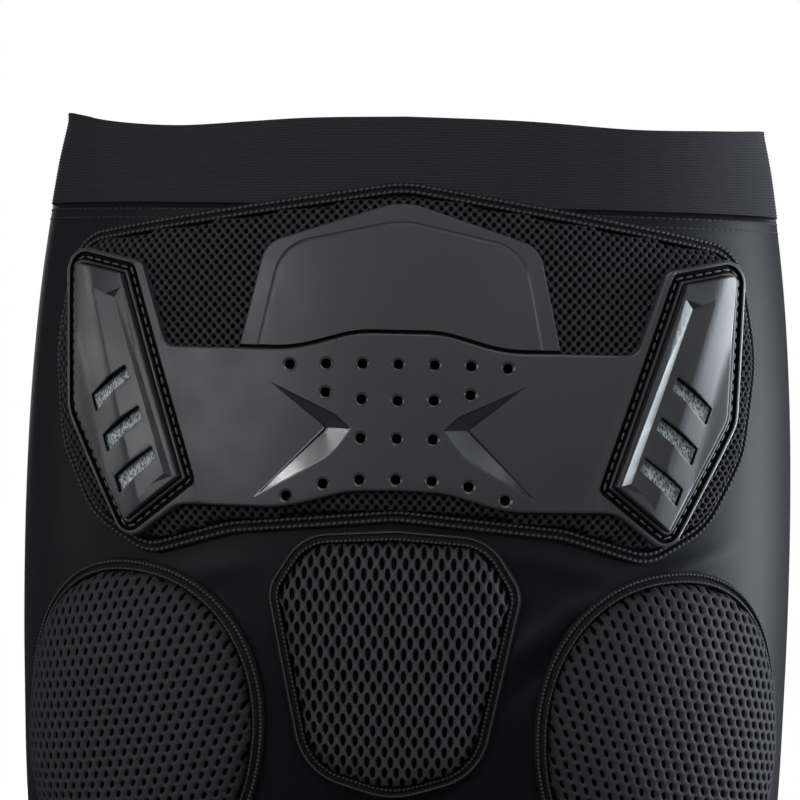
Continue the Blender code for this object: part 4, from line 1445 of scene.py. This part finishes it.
def oval_rings(pad, insets):
    """Rings of an oval pad, its top turned a little towards the middle."""
    turn = -math.radians(pad.turn)
    across = TAILBONE_WIDTH / 2 + SEAT_PAD_WIDTH * (0.5 + pad.aside)
    top = LUMBAR_TOP - LUMBAR_HEIGHT - SEAT_PAD_SPACING
    centre = np.array((pad.side * across, top - SEAT_PAD_HEIGHT / 2))
    angles = -2 * np.pi * np.arange(SEAT_PAD_SIDES) / SEAT_PAD_SIDES
    rings = []
    for inset in insets:
        x = (SEAT_PAD_WIDTH / 2 - inset) * power(np.cos(angles), SEAT_PAD_POWER)
        y = (SEAT_PAD_HEIGHT / 2 - inset) * power(np.sin(angles), SEAT_PAD_POWER)
        rings.append(centre + np.stack([x * math.cos(turn) - y * math.sin(turn),
                                        x * math.sin(turn) + y * math.cos(turn)], axis=1))
    return rings


# Whole outlines of the pads that aren't oval
PAD_CORNERS = {
    "lumbar": scaled(mirrored(LUMBAR_OUTLINE), LUMBAR_WIDTH / 2, LUMBAR_HEIGHT, LUMBAR_TOP),
    "tailbone": scaled(mirrored(TAILBONE_OUTLINE), TAILBONE_WIDTH / 2, TAILBONE_HEIGHT,
                       LUMBAR_TOP + LUMBAR_OUTLINE[-1].up * LUMBAR_HEIGHT - PAD_SPACING),
}


def pad_rings(name, insets):
    """Flat rings of a pad's outline, each at its own inset."""
    if name in SEAT_PADS:
        return oval_rings(SEAT_PADS[name], insets)
    return cornered_rings(PAD_CORNERS[name], insets)


def raised_rings(name, steps, base):
    """Rings of a pad's outline, each at its step's inset and height over the base."""
    return [np.column_stack([ring, np.full(len(ring), base + step.height)])
            for ring, step in zip(pad_rings(name, [step.inset for step in steps]), steps)]


def foam_steps(foam):
    """A foam pad's side inside its bound edge: up to a soft shoulder, then its flat."""
    start = BINDING[-1].inset - FOAM_OVERLAP
    middle = Step(start + FOAM_BEND.inset * foam.shoulder,
                  FOAM_SIDE + FOAM_BEND.height * (foam.thickness - FOAM_SIDE))
    return [Step(start, 0.0), Step(start, FOAM_SIDE), middle, Step(start + foam.shoulder, foam.thickness)]


def inflated(meshes):
    """Swells the pads' foam a little with pressure, its base held, and puts the new meshes in."""
    pads = {}
    for name, mesh in meshes.items():
        blank = placed("blank", mesh)
        remesh = blank.modifiers.new("remesh", "REMESH")
        remesh.mode = "VOXEL"
        remesh.voxel_size = FOAMS[name].voxel
        pad = placed("pad", settled(blank))
        rest = numbers(pad.data)
        held = pad.vertex_groups.new(name="held")
        held.add(np.flatnonzero(rest[:, 2] < rest[:, 2].min() + HELD_HEIGHT).tolist(), 1.0, "REPLACE")
        cloth = pad.modifiers.new("swell", "CLOTH")
        cloth.settings.use_pressure = True
        cloth.settings.uniform_pressure_force = FOAMS[name].pressure
        cloth.settings.effector_weights.gravity = 0
        cloth.settings.vertex_group_mass = held.name
        cloth.point_cache.frame_start = 1
        cloth.point_cache.frame_end = SWELL_FRAMES
        pads[name] = (pad, rest)
    scene = bpy.context.scene
    for step in range(1, SWELL_FRAMES + 1):
        scene.frame_set(step)
    for name, (pad, rest) in pads.items():
        mesh = settled(pad)
        moved = numbers(mesh) - rest
        reach = np.linalg.norm(moved, axis=1, keepdims=True)
        moved *= np.minimum(1, FOAMS[name].cap / np.maximum(reach, TINY))
        set_numbers(mesh, rest + moved)
        blank = placed("blank", mesh)
        refine(blank)
        meshes[name] = settled(blank)
    scene.frame_set(1)


def cell_rings(net):
    """One cell of a net: rings of points from the middle of the strands in to the rim of the hole."""
    u, v = np.array((net.step_x, net.step_y)), np.array((net.next_x, net.next_y))
    corners = np.array([(u + v) / 3, (2 * v - u) / 3, (v - 2 * u) / 3,
                        -(u + v) / 3, (u - 2 * v) / 3, (2 * u - v) / 3])
    after = np.roll(corners, -1, axis=0)
    outer = np.concatenate([corners[i] + (after[i] - corners[i]) * np.arange(net.split)[:, None] / net.split
                            for i in range(6)])
    angle = np.arctan2(outer[:, 1] / net.hole_height, outer[:, 0] / net.hole_width)
    cosine, sine = np.cos(angle), np.sin(angle)
    hole = np.stack([net.hole_width / 2 * cosine * np.abs(cosine) ** net.lens,
                     net.hole_height / 2 * sine], axis=1)
    knots = [np.linalg.norm(outer - place, axis=1) for place in (u / 2, -u / 2)]
    lump = net.knot * np.exp(-(np.minimum(*knots) / (KNOT_LUMP * net.step_x)) ** 2)
    near = np.exp(-(np.minimum(*knots) / (KNOT_REACH * abs(net.step_x))) ** 2)
    rings = []
    for share, height in STRAND:
        flat = outer * (1 - share) + hole * share
        # The shade is painted: lighter at the knots as a painted highlight, darker along the strands and
        # towards the holes as painted shade
        shade = net.light * (1 - net.fade * (1 - near * (1 - share ** 2)))
        rings.append(np.column_stack([flat, NET_RISE * (height + lump * (1 - share)), shade]))
    return rings


def net_cells(net, spin, region, hidden):
    """The middles of a net's cells over a pad, left out where a plate hides them."""
    reach = np.ptp(region, axis=0).max() * LATTICE_REACH
    steps = int(reach / min(abs(net.next_y), abs(net.step_x))) + 2
    i, j = np.meshgrid(np.arange(-2 * steps, 2 * steps + 1), np.arange(-2 * steps, 2 * steps + 1))
    u, v = np.array((net.step_x, net.step_y)), np.array((net.next_x, net.next_y))
    cells = (i.reshape(-1, 1) * u + j.reshape(-1, 1) * v) @ spin.T + region.mean(axis=0)
    cells = cells[inside(cells, region)]
    for polygon in hidden:
        cells = cells[~inside(cells, polygon)]
    return cells


def net_mesh(name, net, region, hidden, surface):
    """A net of open cells at its height over a pad, and its flat area."""
    turn = math.radians(net.turn)
    spin = np.array(((math.cos(turn), -math.sin(turn)), (math.sin(turn), math.cos(turn))))
    cells = net_cells(net, spin, region, hidden)
    rings = cell_rings(net)
    around = len(rings[0])
    template = np.concatenate(rings)
    shades = np.tile(template[:, 3], len(cells))
    template = np.column_stack([template[:, :2] @ spin.T, template[:, 2]])
    points = np.concatenate([cells, np.zeros((len(cells), 1))], axis=1)[:, None, :] + template[None]
    quads = grid_faces(len(rings), around)[:, ::-1]
    faces = (quads[None] + (np.arange(len(cells)) * len(template))[:, None, None]).reshape(-1, 4)
    points = points.reshape(-1, 3)
    heights = surface(points)
    points[:, 2] += heights
    span = max(float(np.ptp(heights)), GAP)
    # Painted shade: the net is darker where it lies lower, down the pad's shoulder
    shades = shades * (SHOULDER_SHADE + (1 - SHOULDER_SHADE) * smooth((heights - heights.min()) / span))
    mesh = mesh_of(name, points, faces)
    set_shades(mesh, shades)
    work = opened(mesh)
    weld(work, NET_WELD)
    work.to_mesh(mesh)
    work.free()
    area = area_of(mesh)
    set_numbers(mesh, bend(numbers(mesh)))
    return mesh, area


def surface_tree(mesh):
    work = opened(mesh)
    tree = BVHTree.FromBMesh(work)
    work.free()
    return tree


def height_over(mesh):
    """A function that gives the height of the net over a flat foam mesh at flat points."""
    tree = surface_tree(mesh)
    low = numbers(mesh)[:, 2].min()
    down = Vector((0, 0, -1))

    def heights(points):
        result = np.full(len(points), low)
        for index, (x, y) in enumerate(points[:, :2].tolist()):
            hit = tree.ray_cast(Vector((x, y, RAY_START)), down)[0]
            if hit is not None:
                result[index] = hit.z
        return result + NET_LIFT
    return heights


def stitch_shape():
    """A small closed grain, one unit long, wide and high, its ends on the x axis."""
    rings = []
    for ring in range(STITCH_RINGS):
        angle = math.pi * (STITCH_TIP + (1 - 2 * STITCH_TIP) * ring / (STITCH_RINGS - 1))
        x, radius = -0.5 * math.cos(angle), 0.5 * math.sin(angle)
        around = 2 * np.pi * np.arange(STITCH_SIDES) / STITCH_SIDES
        rings.append(np.column_stack([np.full(STITCH_SIDES, x), radius * np.cos(around),
                                      radius * np.sin(around)]))
    points = np.concatenate(rings)
    faces = grid_faces(STITCH_RINGS, STITCH_SIDES).tolist()
    faces.append(list(range(STITCH_SIDES)))
    faces.append(list(range(len(points) - 1, len(points) - 1 - STITCH_SIDES, -1)))
    return points, faces


def grains(places, along, aside, out, size):
    """Points and faces of grains of thread at some places, each in its own directions."""
    shape, faces = stitch_shape()
    shape = shape * size
    points = (places[:, None] + shape[None, :, 0:1] * along[:, None] + shape[None, :, 1:2] * aside[:, None]
              + shape[None, :, 2:3] * out[:, None])
    return points.reshape(-1, 3), [[vertex + grain * len(shape) for vertex in face]
                                   for grain in range(len(places)) for face in faces]


def stitches(name, ring, grain, material, slot):
    """A row of thread grains along a closed loop of flat points, turned by a slant."""
    places, along = along_loop(ring, grain.pitch)
    slant = math.radians(grain.slant)
    cosine, sine = math.cos(slant), math.sin(slant)
    along = units(along[:, :2])
    along = np.column_stack([along[:, 0] * cosine - along[:, 1] * sine,
                             along[:, 0] * sine + along[:, 1] * cosine, np.zeros(len(along))])
    out = np.broadcast_to((0.0, 0.0, 1.0), along.shape)
    points, faces = grains(places, along, np.cross(out, along), out, grain[:3])
    add_piece(name, mesh_of(name, bend(points), faces), material, slot)


def walked(path):
    """How far along a path each of its points is."""
    return np.concatenate([[0.0], np.cumsum(np.linalg.norm(np.diff(path, axis=0), axis=1))])


def on_path(path, lengths, at):
    return np.stack([np.interp(at, lengths, path[:, axis]) for axis in range(3)], axis=1)


def along_loop(ring, pitch):
    """Even places along a closed loop of flat points, with the direction at each."""
    loop = np.concatenate([ring, ring[:1]])
    lengths = walked(loop)
    total = lengths[-1]
    count = max(int(total / pitch), 3)
    at = (np.arange(count) + 0.5) * total / count
    after, before = [on_path(loop, lengths, (at + shift) % total) for shift in (pitch / 4, -pitch / 4)]
    return on_path(loop, lengths, at % total), after - before


def build_pad(name, mesh, materials, hidden):
    """One pad: its foam in black cloth, the net over it, and the bound edge with two rows of stitches."""
    region = pad_rings(name, [BINDING[-1].inset - NET_TUCK])[0]
    knitted, area = net_mesh(name + "_net", NETS[name], region, hidden, height_over(mesh))
    foam_mesh = mesh.copy()
    foam_mesh.name = name + "_foam"
    foam_mesh.shade_smooth()
    normals = read(foam_mesh.vertex_normals, "vector")
    set_numbers(foam_mesh, bend(numbers(foam_mesh) - FOAM_SINK * normals))
    node = name if name in SEAT_PADS else name + "_pad"
    foam = add_piece(name + "_foam", foam_mesh, materials["inner_cloth"], "mesh", node)
    cover = add_piece(name + "_net", knitted, materials["net"], "mesh")
    edge = np.array(raised_rings(name, BINDING, PAD_BASE / 2))
    rows, count = edge.shape[:2]
    faces = grid_faces(rows + 1, count)
    faces = np.where(faces >= rows * count, faces - rows * count, faces)[:, ::-1]
    tube = mesh_of(name + "_binding", bend(edge), faces)
    add_piece(name + "_binding", tube, materials["binding"], "mesh")
    for number, (ridge, grain) in enumerate(zip(RIDGES, EDGINGS[name]), start=1):
        ring = raised_rings(name, [ridge], PAD_BASE / 2)[0]
        stitches(f"{name}_stitches_{number}", ring, grain, materials["thread"], "mesh")


def build_pads(materials):
    meshes = {}
    for name, foam in FOAMS.items():
        rings = raised_rings(name, foam_steps(foam), PAD_BASE)
        meshes[name] = rings_mesh(name, [[tuple(p) for p in ring] for ring in rings])
    inflated(meshes)
    plates = [region_of(grown(corners, -NET_UNDER)) for corners in (BAND, PLATE)]
    for name, mesh in meshes.items():
        build_pad(name, mesh, materials, plates if name == "lumbar" else ())


def build_panel_stitches(suffix, side, material):
    """Thread laid along the seam round a panel."""
    ring = cornered_rings(panel_seat(side), [RIM_INSET * SEAM_LINE])[0]
    ring = np.column_stack([ring, np.full(len(ring), GUARD_FACE - SEAM_SINK)])
    stitches("panel_stitches_" + suffix, ring, PANEL_STITCH, material, "panel_plastic")


def along_path(path, closed):
    """Even places along a path in space."""
    line = np.concatenate([path, path[:1]]) if closed else path
    lengths = walked(line)
    pitch = CLOTH_STITCH.pitch
    return on_path(line, lengths, np.arange(0.5, int(lengths[-1] / pitch)) * pitch)


def sewn_rows(name, paths, tree, material, closed):
    """Rows of stitches laid on the cloth's surface along some paths."""
    rows = []
    for path in paths:
        found = [tree.find_nearest(Vector(place))[:2] for place in along_path(path, closed)]
        places = np.array([place[:] for place, _ in found])
        out = np.array([normal[:] for _, normal in found])
        along = units(np.gradient(places, axis=0))
        rows.append((places, along, np.cross(out, along), out))
    points, faces = grains(*map(np.concatenate, zip(*rows)), CLOTH_STITCH[:3])
    add_piece(name, mesh_of(name, points, faces), material, "body_fabric")


def seam_path(levels, section, turn, side, shift=(0, 0)):
    """A line down the cloth at a turn of its section, moved aside by a shift."""
    rows = []
    for level in levels:
        x, y = section(level, np.array([turn]))
        rows.append((side * x[0] + shift[0], y[0] + shift[1], level))
    return np.array(rows)


def build_cloth_stitches(material, cloth_mesh):
    """The rows of stitches under the waistband, above each hem and along the seams."""
    tree = surface_tree(cloth_mesh)
    waist = [girth([SEAM_LEVEL - drop], BAND_STEPS)[0] for drop in WAIST_ROWS]
    sewn_rows("waist_stitches", waist, tree, material, True)
    hem = CROTCH_LEVEL - INSEAM
    angles = 2 * np.pi * np.arange(2 * BAND_STEPS) / (2 * BAND_STEPS)
    rings = []
    for side in (1, -1):
        for rise in HEM_ROWS:
            x, y = leg_points(hem + rise, angles)
            rings.append(np.stack([side * x, y, np.full_like(x, hem + rise)], axis=1))
    sewn_rows("hem_stitches", rings, tree, material, True)
    top = SEAM_LEVEL - SEAM_START
    front = np.linspace(top, CROTCH_LEVEL + FRONT_END, FRONT_POINTS)
    outer = np.linspace(top, hem + SEAM_END, OUTER_POINTS)
    inner = np.linspace(CROTCH_LEVEL - INNER_SEAM_DROP, hem + SEAM_END, INNER_POINTS)
    paths = [seam_path(front, half_section, 1.0, 0, (shift, 0)) for shift in SEAM_ROWS]
    for side in (1, -1):
        paths += [seam_path(outer, half_section, SIDE_SEAM, side, (0, shift)) for shift in SEAM_ROWS]
        paths += [seam_path(inner, leg_points, math.pi, side, (0, shift)) for shift in SEAM_ROWS]
    sewn_rows("seam_stitches", paths, tree, material, False)


class Surface:
    """A Principled material under construction, in node form."""

    def __init__(self, name, colour, roughness, **sockets):
        self.material = bpy.data.materials.new(name)
        self.material.use_nodes = True
        self.material.diffuse_color = (*colour, 1.0)
        self.tree = self.material.node_tree
        self.shader = self.tree.nodes["Principled BSDF"].inputs
        self.shader["Base Color"].default_value = (*colour, 1.0)
        self.shader["Roughness"].default_value = roughness
        for socket, value in sockets.items():
            self.shader[socket.replace("_", " ")].default_value = value
        self.place = self.node("TexCoord", "Object", {})
        self.height = None

    def node(self, kind, output, sockets, **settings):
        """Adds a node, each socket with its value or another node's output, and gives its own output."""
        made = self.tree.nodes.new("ShaderNode" + kind)
        for key, value in settings.items():
            setattr(made, key, value)
        for socket, value in sockets.items():
            if isinstance(value, bpy.types.NodeSocket):
                self.tree.links.new(value, made.inputs[socket])
            else:
                made.inputs[socket].default_value = value
        return made.outputs[output]

    def noise(self, scale, detail=2.0, stretch=(1, 1, 1)):
        place = self.node("Mapping", "Vector", {"Scale": stretch, "Vector": self.place})
        return self.node("TexNoise", "Fac", {"Scale": scale, "Detail": detail, "Vector": place})

    def mapped(self, value, low, high, start=0.3, end=0.7):
        ends = {"From Min": start, "From Max": end, "To Min": low, "To Max": high}
        return self.node("MapRange", "Result", ends | {"Value": value})

    def bump(self, value, distance, strength):
        sockets = {"Distance": distance, "Strength": strength, "Height": value}
        if self.height is not None:
            sockets["Normal"] = self.height
        self.height = self.node("Bump", "Normal", sockets)
        self.tree.links.new(self.height, self.shader["Normal"])

    def colours(self, value, first, second):
        mixed = self.node("Mix", 2, {6: (*first, 1.0), 7: (*second, 1.0), 0: value}, data_type="RGBA")
        self.tree.links.new(mixed, self.shader["Base Color"])


def plastic(name, colour, roughness):
    """A moulded plastic with a fine grain and slow changes of gloss."""
    surface = Surface(name, colour, roughness, IOR=1.5)
    gloss = surface.mapped(surface.noise(45, 3.0), roughness - 0.05, roughness + 0.06)
    surface.tree.links.new(gloss, surface.shader["Roughness"])
    surface.colours(surface.noise(25, 3.0), colour, tuple(c * 0.88 for c in colour))
    surface.bump(surface.noise(1400, 3.0), 0.00003, 0.5)
    surface.bump(surface.noise(60, 2.0), 0.0003, 0.15)
    return surface.material


def cloth(name, colour, darker, roughness, scale, depth, specular):
    """A cloth with a fine, mottled yarn."""
    surface = Surface(name, colour, roughness, Specular_IOR_Level=specular)
    surface.colours(surface.mapped(surface.noise(scale), 0.0, 1.0), colour, darker)
    surface.bump(surface.noise(scale, 3.0), depth, YARN_BUMP)
    return surface.material


def shaded_cloth(name, light, dark, roughness, scale, depth, specular):
    """A yarn painted light on its crests and knots and dark in its hollows by the mesh's shade attribute:
    painted highlight and painted shade.
    """
    surface = Surface(name, light, roughness, Specular_IOR_Level=specular)
    shade = surface.node("Attribute", "Fac", {}, attribute_name="shade")
    speckle = surface.mapped(surface.noise(scale), 0.75, 1.0)
    both = surface.node("Math", "Value", {0: shade, 1: speckle}, operation="MULTIPLY")
    surface.colours(both, dark, light)
    surface.bump(surface.noise(scale, 3.0), depth, YARN_BUMP)
    return surface.material


def weave(name, light, dark):
    """A pale woven cloth: uneven bright threads on darker ones."""
    surface = Surface(name, light, 0.5)
    yarn = surface.noise(1500, 2.0, stretch=(1.0, 0.5, 0.45))
    surface.colours(surface.mapped(yarn, 0.0, 1.0, 0.38, 0.62), dark, light)
    surface.bump(yarn, 0.0004, 0.8)
    surface.bump(surface.noise(500), 0.0004, 0.6)
    return surface.material


# Each material's kind, colours and roughness, and for a cloth its yarns a metre, their depth and the gloss
MATERIALS = {
    # The elastic and the net are painted lighter on crests and knots and darker in hollows by their shade
    # attribute: painted highlight and shade
    "elastic": (shaded_cloth, (0.042, 0.039, 0.045), (0.002, 0.002, 0.002), 0.85, 1100, 0.00015, 0.08),
    "body_fabric": (cloth, (0.0080, 0.0073, 0.0092), (0.0056, 0.0051, 0.0064), 0.50, 1800, 0.0001, 0.12),
    "net": (shaded_cloth, (0.078, 0.073, 0.081), (0.004, 0.0037, 0.0043), 0.75, 1600, 0.0003, 0.25),
    "inner_cloth": (cloth, (0.0025, 0.0024, 0.0026), (0.0015, 0.0015, 0.0015), 0.9, 1500, 0.0002, 0.05),
    "binding": (cloth, (0.011, 0.010, 0.0115), (0.006, 0.0055, 0.006), 0.8, 1200, 0.0003, 0.2),
    "thread": (cloth, (0.070, 0.067, 0.073), (0.038, 0.036, 0.040), 0.6, 2500, 0.0002, 0.3),
    "cloth_thread": (cloth, (0.036, 0.034, 0.038), (0.020, 0.019, 0.021), 0.6, 2500, 0.0002, 0.2),
    "panel_thread": (cloth, (0.085, 0.082, 0.088), (0.045, 0.044, 0.048), 0.5, 2500, 0.0002, 0.5),
    "plate_plastic": (plastic, (0.031, 0.030, 0.034), 0.42),
    "panel_plastic": (plastic, (0.028, 0.027, 0.031), 0.33),
    "polished_plastic": (plastic, (0.024, 0.023, 0.027), 0.16),
    # A much lighter plastic on the left chevron's rims: a painted glint
    "bright_plastic": (plastic, (0.34, 0.34, 0.36), 0.20),
    # A glossier plastic, also lighter as a painted highlight, on the band's edge, the holes' rims and the
    # right chevron's rims
    "edge_plastic": (plastic, (0.044, 0.043, 0.048), 0.24),
    # A near-black lining put where shade falls: painted shade in the grooves, valleys and slots, and the
    # band's painted shadow in the plate's channel
    "channel": (cloth, (0.0025, 0.0024, 0.0026), (0.0015, 0.0015, 0.0015), 0.85, 1500, 0.0002, 0.1),
    "slot_cloth": (weave, (0.62, 0.69, 0.72), (0.07, 0.08, 0.085)),
}


def stage_piece(work, name, colour, glow, hidden, **sockets):
    """A glowing piece of the stage, hidden from some kinds of light."""
    piece = placed(name, finished(work, name))
    surface = Surface(name, colour, Emission_Color=(1, 1, 1, 1), Emission_Strength=glow, **sockets)
    piece.data.materials.append(surface.material)
    for kind in hidden:
        setattr(piece, "visible_" + kind, False)


def build_stage():
    """A pale round floor under the hems, and a white dome that only the camera sees."""
    work = bmesh.new()
    bmesh.ops.create_circle(work, cap_ends=True, segments=96, radius=FLOOR_RADIUS,
                            matrix=Matrix.Translation((0, 0, cad_bounds[0][2] - FLOOR_DROP)))
    stage_piece(work, "stage_floor", (0.80, 0.80, 0.80), FLOOR_GLOW, ("diffuse", "glossy"), roughness=0.9)
    work = bmesh.new()
    bmesh.ops.create_uvsphere(work, u_segments=48, v_segments=24, radius=DOME_RADIUS)
    stage_piece(work, "stage_dome", (0, 0, 0), 1.0,
                ("diffuse", "glossy", "transmission", "shadow", "volume_scatter"),
                roughness=1.0, Specular_IOR_Level=0.0)


# Soft boxes: azimuth from behind the back towards the wearer's right, elevation, distance, width, height,
# radiance and colour, each aimed at the guard
SoftBox = namedtuple("SoftBox", "name azimuth elevation distance width height radiance colour")
SOFT_BOXES = [
    SoftBox("front_top", 8, 52, 1.7, 1.3, 0.8, 1.7, (1.0, 0.98, 1.0)),
    SoftBox("left_broad", -49, 12, 1.6, 0.6, 0.7, 2.9, (1.0, 0.98, 0.99)),
    SoftBox("left_inner", -34, 8, 1.6, 0.3, 0.5, 3.2, (1.0, 0.98, 0.99)),
    SoftBox("left_soft", -20, 17, 1.8, 0.5, 0.4, 2.3, (1.0, 0.98, 1.0)),
    SoftBox("left_glint", -28.0, 18.3, 1.5, 0.10, 0.10, 42.0, (1.0, 0.99, 1.0)),
    SoftBox("right_glint", 20, 20, 1.6, 0.20, 0.16, 1.6, (0.80, 0.88, 1.0)),
    SoftBox("right_soft", 13, 17, 1.8, 0.5, 0.3, 2.2, (0.95, 0.97, 1.0)),
    SoftBox("right_high", 30, 36, 1.7, 0.6, 0.4, 2.6, (0.90, 0.94, 1.0)),
    SoftBox("right_wall", 104, -3, 1.5, 0.6, 1.0, 18.0, (0.84, 0.91, 1.0)),
    SoftBox("right_slope", 84, 4, 1.6, 0.5, 0.9, 2.4, (0.84, 0.91, 1.0)),
    SoftBox("right_rim", 60, 0, 1.6, 0.2, 0.5, 4.0, (0.90, 0.94, 1.0)),
    SoftBox("right_front", 48, 10, 1.9, 0.6, 0.9, 0.9, (0.92, 0.95, 1.0)),
    SoftBox("left_wall", -89, 2, 1.6, 0.4, 0.5, 3.6, (1.0, 0.99, 0.98)),
    SoftBox("rear", 165, 32, 1.8, 1.2, 1.0, 3.4, (1.0, 1.0, 1.0)),
    SoftBox("rear_side", -160, 15, 1.8, 0.5, 1.2, 3.0, (1.0, 1.0, 1.0)),
]
AIM = Vector((0, -0.1, -0.10))


def direction(azimuth, elevation):
    """The direction from the part towards an azimuth and an elevation in degrees."""
    azimuth, elevation = math.radians(azimuth), math.radians(elevation)
    return Vector((math.sin(azimuth) * math.cos(elevation), -math.cos(azimuth) * math.cos(elevation),
                   math.sin(elevation)))


def build_light():
    for box in SOFT_BOXES:
        lamp = bpy.data.lights.new(box.name, "AREA")
        lamp.shape = "RECTANGLE"
        lamp.size, lamp.size_y = box.width, box.height
        lamp.energy = box.radiance * math.pi * box.width * box.height
        lamp.color = box.colour
        light = placed(box.name, lamp)
        towards = direction(box.azimuth, box.elevation)
        light.location = AIM + towards * box.distance
        light.rotation_euler = (-towards).to_track_quat("-Z", "Y").to_euler()
    world = bpy.data.worlds.new("studio")
    world.use_nodes = True
    background = world.node_tree.nodes["Background"].inputs
    background["Color"].default_value = WORLD_COLOUR
    background["Strength"].default_value = WORLD_STRENGTH
    bpy.context.scene.world = world
    bpy.context.scene.view_settings.view_transform = "Standard"


def build_camera():
    """A level lens behind the back, a little to its right, turned a little about its axis."""
    back = direction(CAMERA_AZIMUTH, CAMERA_ELEVATION)
    right = (-back).cross(Vector((0, 0, 1))).normalized()
    up = right.cross(-back)
    turned_right = right * math.cos(CAMERA_ROLL) + up * math.sin(CAMERA_ROLL)
    turned_up = up * math.cos(CAMERA_ROLL) - right * math.sin(CAMERA_ROLL)
    lens = bpy.data.cameras.new("camera")
    lens.lens = FOCAL_LENGTH
    camera = placed("camera", lens)
    axes = Matrix((turned_right, turned_up, back)).transposed()
    camera.matrix_world = Matrix.Translation(CAMERA_TARGET + back * CAMERA_DISTANCE) @ axes.to_4x4()
    bpy.context.scene.camera = camera


materials = {name: kind(name, *looks) for name, (kind, *looks) in MATERIALS.items()}
build_camera()
build_light()
build_stage()
short_mesh = build_short(materials["body_fabric"])
build_elastic(materials["elastic"])
build_pads(materials)
build_upper_plate(materials)
build_hip_band(materials)
for suffix, facing in (("right", 1), ("left", -1)):
    build_side_panel(suffix, facing, materials)
    build_slot_cloth(suffix, facing, materials["slot_cloth"])
for suffix, facing in (("right", 1), ("left", -1)):
    build_panel_stitches(suffix, facing, materials["panel_thread"])
build_cloth_stitches(materials["cloth_thread"], short_mesh)
